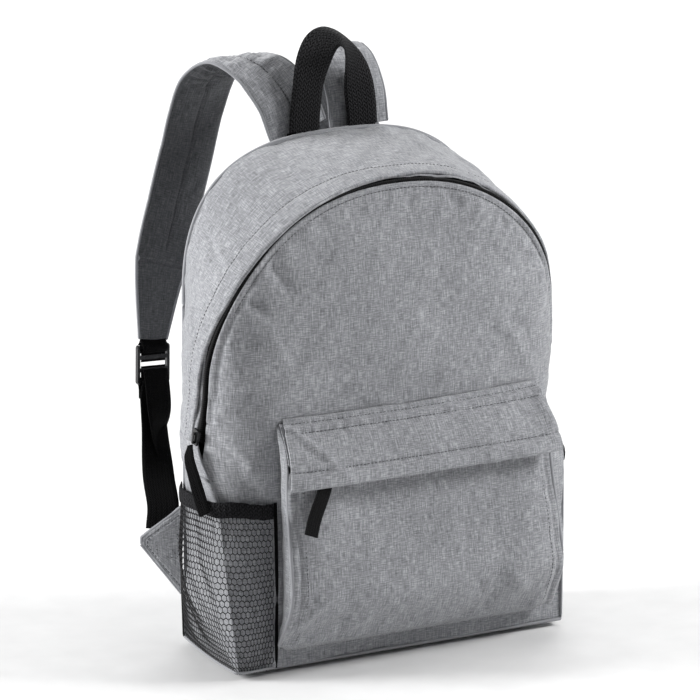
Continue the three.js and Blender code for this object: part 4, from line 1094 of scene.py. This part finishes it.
def make_straps():
    u = 0.5 * np.sin(math.pi / 2 * np.linspace(-1, 1, 41))
    for name, way in SIDES.items():
        route, t, side, width, thick = strap_parts(name)
        wide, face = frames(route, side)
        run = t * np.linalg.norm(np.diff(route, axis=0), axis=1).sum()
        body = "strap_l" if name == "left" else "strap_r"
        start = to_frame(mirrored(route[0], way))[0]
        end = to_frame(mirrored(route[int(STEPS * ROOT_PART)], way))[0]
        # The lining side takes the darker copy of the grey cloth: painted shade on the straps' undersides.
        for part, sign, material, seed in (("face", 1, GREY, 141), ("lining", -1, STRAP_PAINTED_SHADE_GREY, 151)):
            uu, tt = np.broadcast_arrays(u[:, None], t[None])
            crown, extra = strap_height(uu, tt, run[None] + 0 * uu, sign > 0, seed + (5 if way < 0 else 0))
            height = sign * (crown * thick[None] + extra)
            seam = np.exp(-(((t - TIP_PART) * run[-1] / 1.8) ** 2))
            height = height - sign * 1.0 * seam[None] * (crown > 0.2)
            points = spread(route, wide, u, width) + face[None] * height[..., None]
            outside = np.broadcast_to(sign * face[None], points.shape)
            points, outside = mirrored(points, way), mirrored(outside, way)
            weave = (3 * way, 9)
            obj = sheet_mesh(f"strap_{part}_cloth_{name}", points, outside, material, thick=1.1, weave=weave)
            if part == "face":
                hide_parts(*(f"strap_{node}_{name}" for node in ("face", "foam", "root", "tip")))
            else:
                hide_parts(f"strap_lining_{name}")
            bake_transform(obj)
        edges = [mirrored(route + wide * (k * width[:, None] * 0.5), way) for k in (-1, 1)]
        piping = tube_mesh(f"strap_piping_{name}", edges, 1.15, GREY, sides=8)
        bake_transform(piping)
        rows = []
        keep = (t > 0.04) & (t < 0.985)
        for sign in (1, -1):
            ridge = route + sign * face * (thick[:, None] - 1.1)
            rows += stitch_row(mirrored(ridge[keep], way), mirrored(sign * face[keep], way))
            for at in (TIP_PART - 0.006, TIP_PART + 0.008):
                k = int(at * STEPS)
                cross = route[k] + wide[k] * (np.linspace(-0.44, 0.44, 30) * width[k])[:, None]
                cross = cross + sign * face[k] * (thick[k] - 0.3)
                rows += stitch_row(mirrored(cross, way), mirrored(sign * face[k], way))
        thread = tube_mesh(f"strap_stitch_{name}", rows, 0.36, THREAD_WITH_PAINTED_SHADOW, sides=4)
        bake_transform(thread)
        make_webbing(name, way, body)
        make_tab(name, way)


def eye_route(bar, tail, reach):
    """A closed turn of webbing round a bar, in the plane across it: down the front, round, and back."""
    way = 1 if tail > bar else -1
    turn = np.linspace(-0.5 * math.pi + 0.5, 1.5 * math.pi - 0.5, 26)
    loop = [(reach * np.cos(k), bar - way * reach * np.sin(k)) for k in turn]
    return [(0.75, tail), (0.9, mix(bar, tail, 0.5)), *loop, (-0.9, mix(bar, tail, 0.5)), (-0.75, tail)]


def make_webbing(name, way, body):
    bars = {"loop": (3.6 + 2.6, -7.0, 4.4), "grip": (3.6 + 29.4, 46.0, 3.0)}
    for part, (bar, tail, reach) in bars.items():
        flat = eye_route(bar, tail, reach)
        route = even(np.array([STRAP_END + BAR_FACE * a + DOWN * b for a, b in flat]), 90)
        side = np.broadcast_to(BAR_WAY, route.shape)
        made = f"webbing_{part}_cloth_{name}"
        obj = band_mesh(made, route, side, 25.0, WEBBING, thick=1.1, lift=-0.55, way=way)
        settle(obj, body, "black_webbing", f"webbing_{part}_{name}")
    for number, (start, end) in enumerate(((4.5, 17.2), (20.4, 33.0))):
        route = STRAP_END + DOWN * np.linspace(start, end, 8)[:, None]
        side = np.broadcast_to(BAR_WAY, route.shape)
        made = f"webbing_inside_{name}_{number}"
        obj = band_mesh(made, route, side, 24.0, WEBBING, thick=1.0, lift=-0.5, way=way)
        settle(obj, body, "black_webbing")
    route = spline([STRAP_END + DOWN * 42, *WEBBING_ROUTE[1:], (-147.3, 13.2, 87.0)], 120)
    t = np.linspace(0, 1, 120)
    side = mix(BAR_WAY, -TAB_WAY, smooth(t, 0.2, 0.8)[:, None])
    obj = band_mesh(f"webbing_cloth_{name}", route, side, 25.0, WEBBING, way=way)
    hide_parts(f"webbing_{name}")
    held, free = (to_frame(mirrored(p, way))[0] for p in ((-146.5, 13.1, 98), WEBBING_ROUTE[1]))
    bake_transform(obj)
    tail = ((23, 3.5), (40, 7), (62, 9), (86, 6), (104, 8))
    route = spline([STRAP_END + DOWN * fall - BAR_FACE * out for fall, out in tail], 90)
    t = np.linspace(0, 1, 90)
    turn = 1.15 * smooth(t, 0.3, 1)
    side = BAR_WAY * np.cos(turn)[:, None] + BAR_FACE * np.sin(turn)[:, None]
    obj = band_mesh(f"webbing_tail_{name}", route, side, 24.0, WEBBING, thick=1.3, way=way)
    settle(obj, body, "black_webbing")


TAB_LOW = (35, 74.5)
TAB_HIGH = (106, 80.5)
TAB_SEAM = np.array([-BACK_HALF - 0.6, 2.6, 0])
TAB_OUT = np.cross(TAB_WAY, UP)


def tab_point(a, b):
    """A place on the tab: a from its seam to its tip, b from its lower to its upper edge."""
    height = mix(mix(*TAB_LOW, a), mix(*TAB_HIGH, a), b)
    return TAB_SEAM + TAB_WAY * (0.6 + 31.5 * a) + UP * height - TAB_OUT * 0.35


def make_tab(name, way):
    u = np.linspace(0, 1, 34)
    v = np.linspace(0, 1, 40)
    low, high = mix(*TAB_LOW, u), mix(*TAB_HIGH, u)
    z = mix(low[:, None], high[:, None], v[None])
    reach = 0.6 + 31.5 * u[:, None] + 0 * v[None]
    base = TAB_SEAM + TAB_WAY * reach[..., None] + UP * z[..., None]
    rim = np.minimum(np.minimum(v, 1 - v)[None] * (high - low)[:, None], (1.03 - u)[:, None] * 31)
    crown = 0.6 * smooth(rim, 0, 4) - 0.7 * gauss(rim, 4.2, 1.1) + 0.4 * ripple(reach, z, 161, 30)
    for part, sign in (("front", -1), ("back", 1)):
        points = mirrored(base + TAB_OUT * (1.5 + sign * (1.5 + crown))[..., None], way)
        outside = mirrored(np.broadcast_to(sign * TAB_OUT, points.shape), way)
        obj = sheet_mesh(f"tab_{part}_{name}", points, outside, GREY, thick=1.3)
        settle(obj, "root", "grey_cloth", *([f"anchor_tab_{name}"] if part == "front" else []))
    rows = []
    inset = [(0.03, 0.07), (0.86, 0.35), (0.86, 0.65), (0.03, 0.93)]
    box = [(0.08, 0.40), (0.62, 0.22), (0.62, 0.90), (0.12, 0.82), (0.08, 0.40), (0.62, 0.90)]
    for line in (inset, box):
        path = even(np.array([tab_point(a, b) for a, b in line]), 80)
        rows += stitch_row(mirrored(path, way), mirrored(-TAB_OUT, way))
    stitches(f"tab_stitch_{name}", rows, THREAD_WITH_PAINTED_SHADOW, "root")
    edge = [tab_point(a, b) + TAB_OUT * 1.85 for a, b in ((0, 0), (1, 0), (1, 1), (0, 1))]
    edge = even(np.array(edge), 120)
    seam_cord(f"tab_edge_{name}", edge, 1.5, way, sides=8)


# ---------- sliders and pulls ----------
def make_pulls():
    start = np.array([-163.4, seam_y(182.0) + 0.4, 176.4])
    low = start + np.array([-4.6, -31.0, -47.5])
    upper = mix(start, low, 0.18) + np.array([-2.4, 1.5, 0])
    middle = mix(start, low, 0.5) + np.array([-1.8, 1.0, 0])
    route = spline([start, upper, middle, low], 90)
    t = np.linspace(0, 1, 90)
    twist = mix(-0.1, -0.5, smooth(t, 0.0, 0.3)) + 0.15 * np.sin(math.tau * t)
    side = stack(-np.sin(twist), -np.cos(twist), 0)
    width = mix(6.0, 10.0, smooth(t, 0, 0.15))
    pull = band_mesh("main_pull_tape", route, side, width, WEBBING, thick=1.8)
    settle(pull, "zip_pull", "black_webbing", "main_zip_pull")

    top = np.array([-83, pocket_face(0.0, POCKET_ZIP_Z)[1] - 7.0, POCKET_ZIP_Z - 5])
    up = unit(np.array([0.4, 0.13, 1.0]))
    wide = unit(np.cross(up, np.array([0, -1.0, -0.1])))
    t = np.linspace(0, 1, 60)
    route = top - up * (48 * t)[:, None] + FORWARD * (1.2 * np.sin(math.tau * t))[:, None]
    width = mix(8.0, 12.4, smooth(t, 0, 0.12))
    side = np.broadcast_to(wide, route.shape)
    pull = band_mesh("pocket_pull_tape", route, side, width, PULL_TAPE, thick=2.0)
    settle(pull, "pocket_pull", "black_webbing", "pocket_zip_pull")
    for name in ("main_zip_slider", "pocket_zip_slider"):
        paint(name, METAL)
    for name in ("adjuster_left", "adjuster_right"):
        paint(name, ACETAL)


def paint(name, material):
    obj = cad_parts[name]
    obj.data.materials.clear()
    obj.data.materials.append(material)


# ---------- the whole pack ----------
make_front_panel()
make_zip()
make_gusset()
make_sides()
make_bottom()
make_back()
make_pocket()
make_mesh_pockets()
make_haul_loop()
make_straps()
make_pulls()


# ---------- floor, light and camera ----------
def make_floor():
    mesh = bpy.data.meshes.new("floor")
    mesh.from_pydata([(-6, -6, -0.004), (6, -6, -0.004), (6, 6, -0.004), (-6, 6, -0.004)], [], [(0, 1, 2, 3)])
    material, tree, shader = new_material("pale_floor")
    place = node(tree, "ShaderNodeTexCoord").outputs["Object"]
    mottle = stretched_noise(tree, place, (30.0, 30.0, 30.0), 3.0)
    base = ramp(tree, mottle, [(0.3, (0.74, 0.74, 0.74)), (0.7, (0.78, 0.78, 0.78))])
    feed(tree, shader, {"Base Color": base, "Roughness": 0.9})
    mesh.materials.append(material)
    floor = bpy.data.objects.new("floor", mesh)
    bpy.context.scene.collection.objects.link(floor)


def area_light(name, place, target, size, energy):
    data = bpy.data.lights.new(name, "AREA")
    data.shape = "DISK"
    data.size = size
    data.energy = energy
    light = bpy.data.objects.new(name, data)
    light.location = place
    light.rotation_mode = "QUATERNION"
    light.rotation_quaternion = (Vector(target) - Vector(place)).to_track_quat("-Z", "Y")
    bpy.context.scene.collection.objects.link(light)


def make_light():
    middle = (0, 0.02, 0.22)
    area_light("key", (-2.8, 1.3, 1.3), middle, 1.2, 140)
    area_light("front_fill", (1.35, -0.8, 1.2), (0, 0, 0.26), 0.7, 29)
    area_light("top", (0.4, 0.4, 3.0), middle, 1.8, 26)
    area_light("back_fill", (1.6, 2.4, 1.2), middle, 2.0, 40)
    world = bpy.data.worlds.new("studio")
    world.use_nodes = True
    world.node_tree.nodes["Background"].inputs["Color"].default_value = (1, 1, 1, 1)
    world.node_tree.nodes["Background"].inputs["Strength"].default_value = 0.22
    bpy.context.scene.world = world
    bpy.context.scene.view_settings.view_transform = "Standard"


def make_camera():
    turn, lift = math.radians(-30), math.radians(15)
    right = np.array([math.cos(turn), math.sin(turn), 0])
    back = np.array([math.sin(turn) * math.cos(lift), -math.cos(turn) * math.cos(lift), math.sin(lift)])
    up = np.cross(back, right)
    aim = to_frame(np.array([0, -40, 200]) - 7.0 * right + 24.0 * up)[0]
    distance = 6.0
    data = bpy.data.cameras.new("camera")
    data.sensor_width = 36
    data.lens = 1.28 * distance * MM * 36 / 700
    data.clip_end = 50
    camera = bpy.data.objects.new("camera", data)
    bpy.context.scene.collection.objects.link(camera)
    camera.location = (aim + back * distance).tolist()
    camera.rotation_mode = "QUATERNION"
    camera.rotation_quaternion = Vector((-back).tolist()).to_track_quat("-Z", "Y")
    bpy.context.scene.camera = camera


make_floor()
make_light()
make_camera()
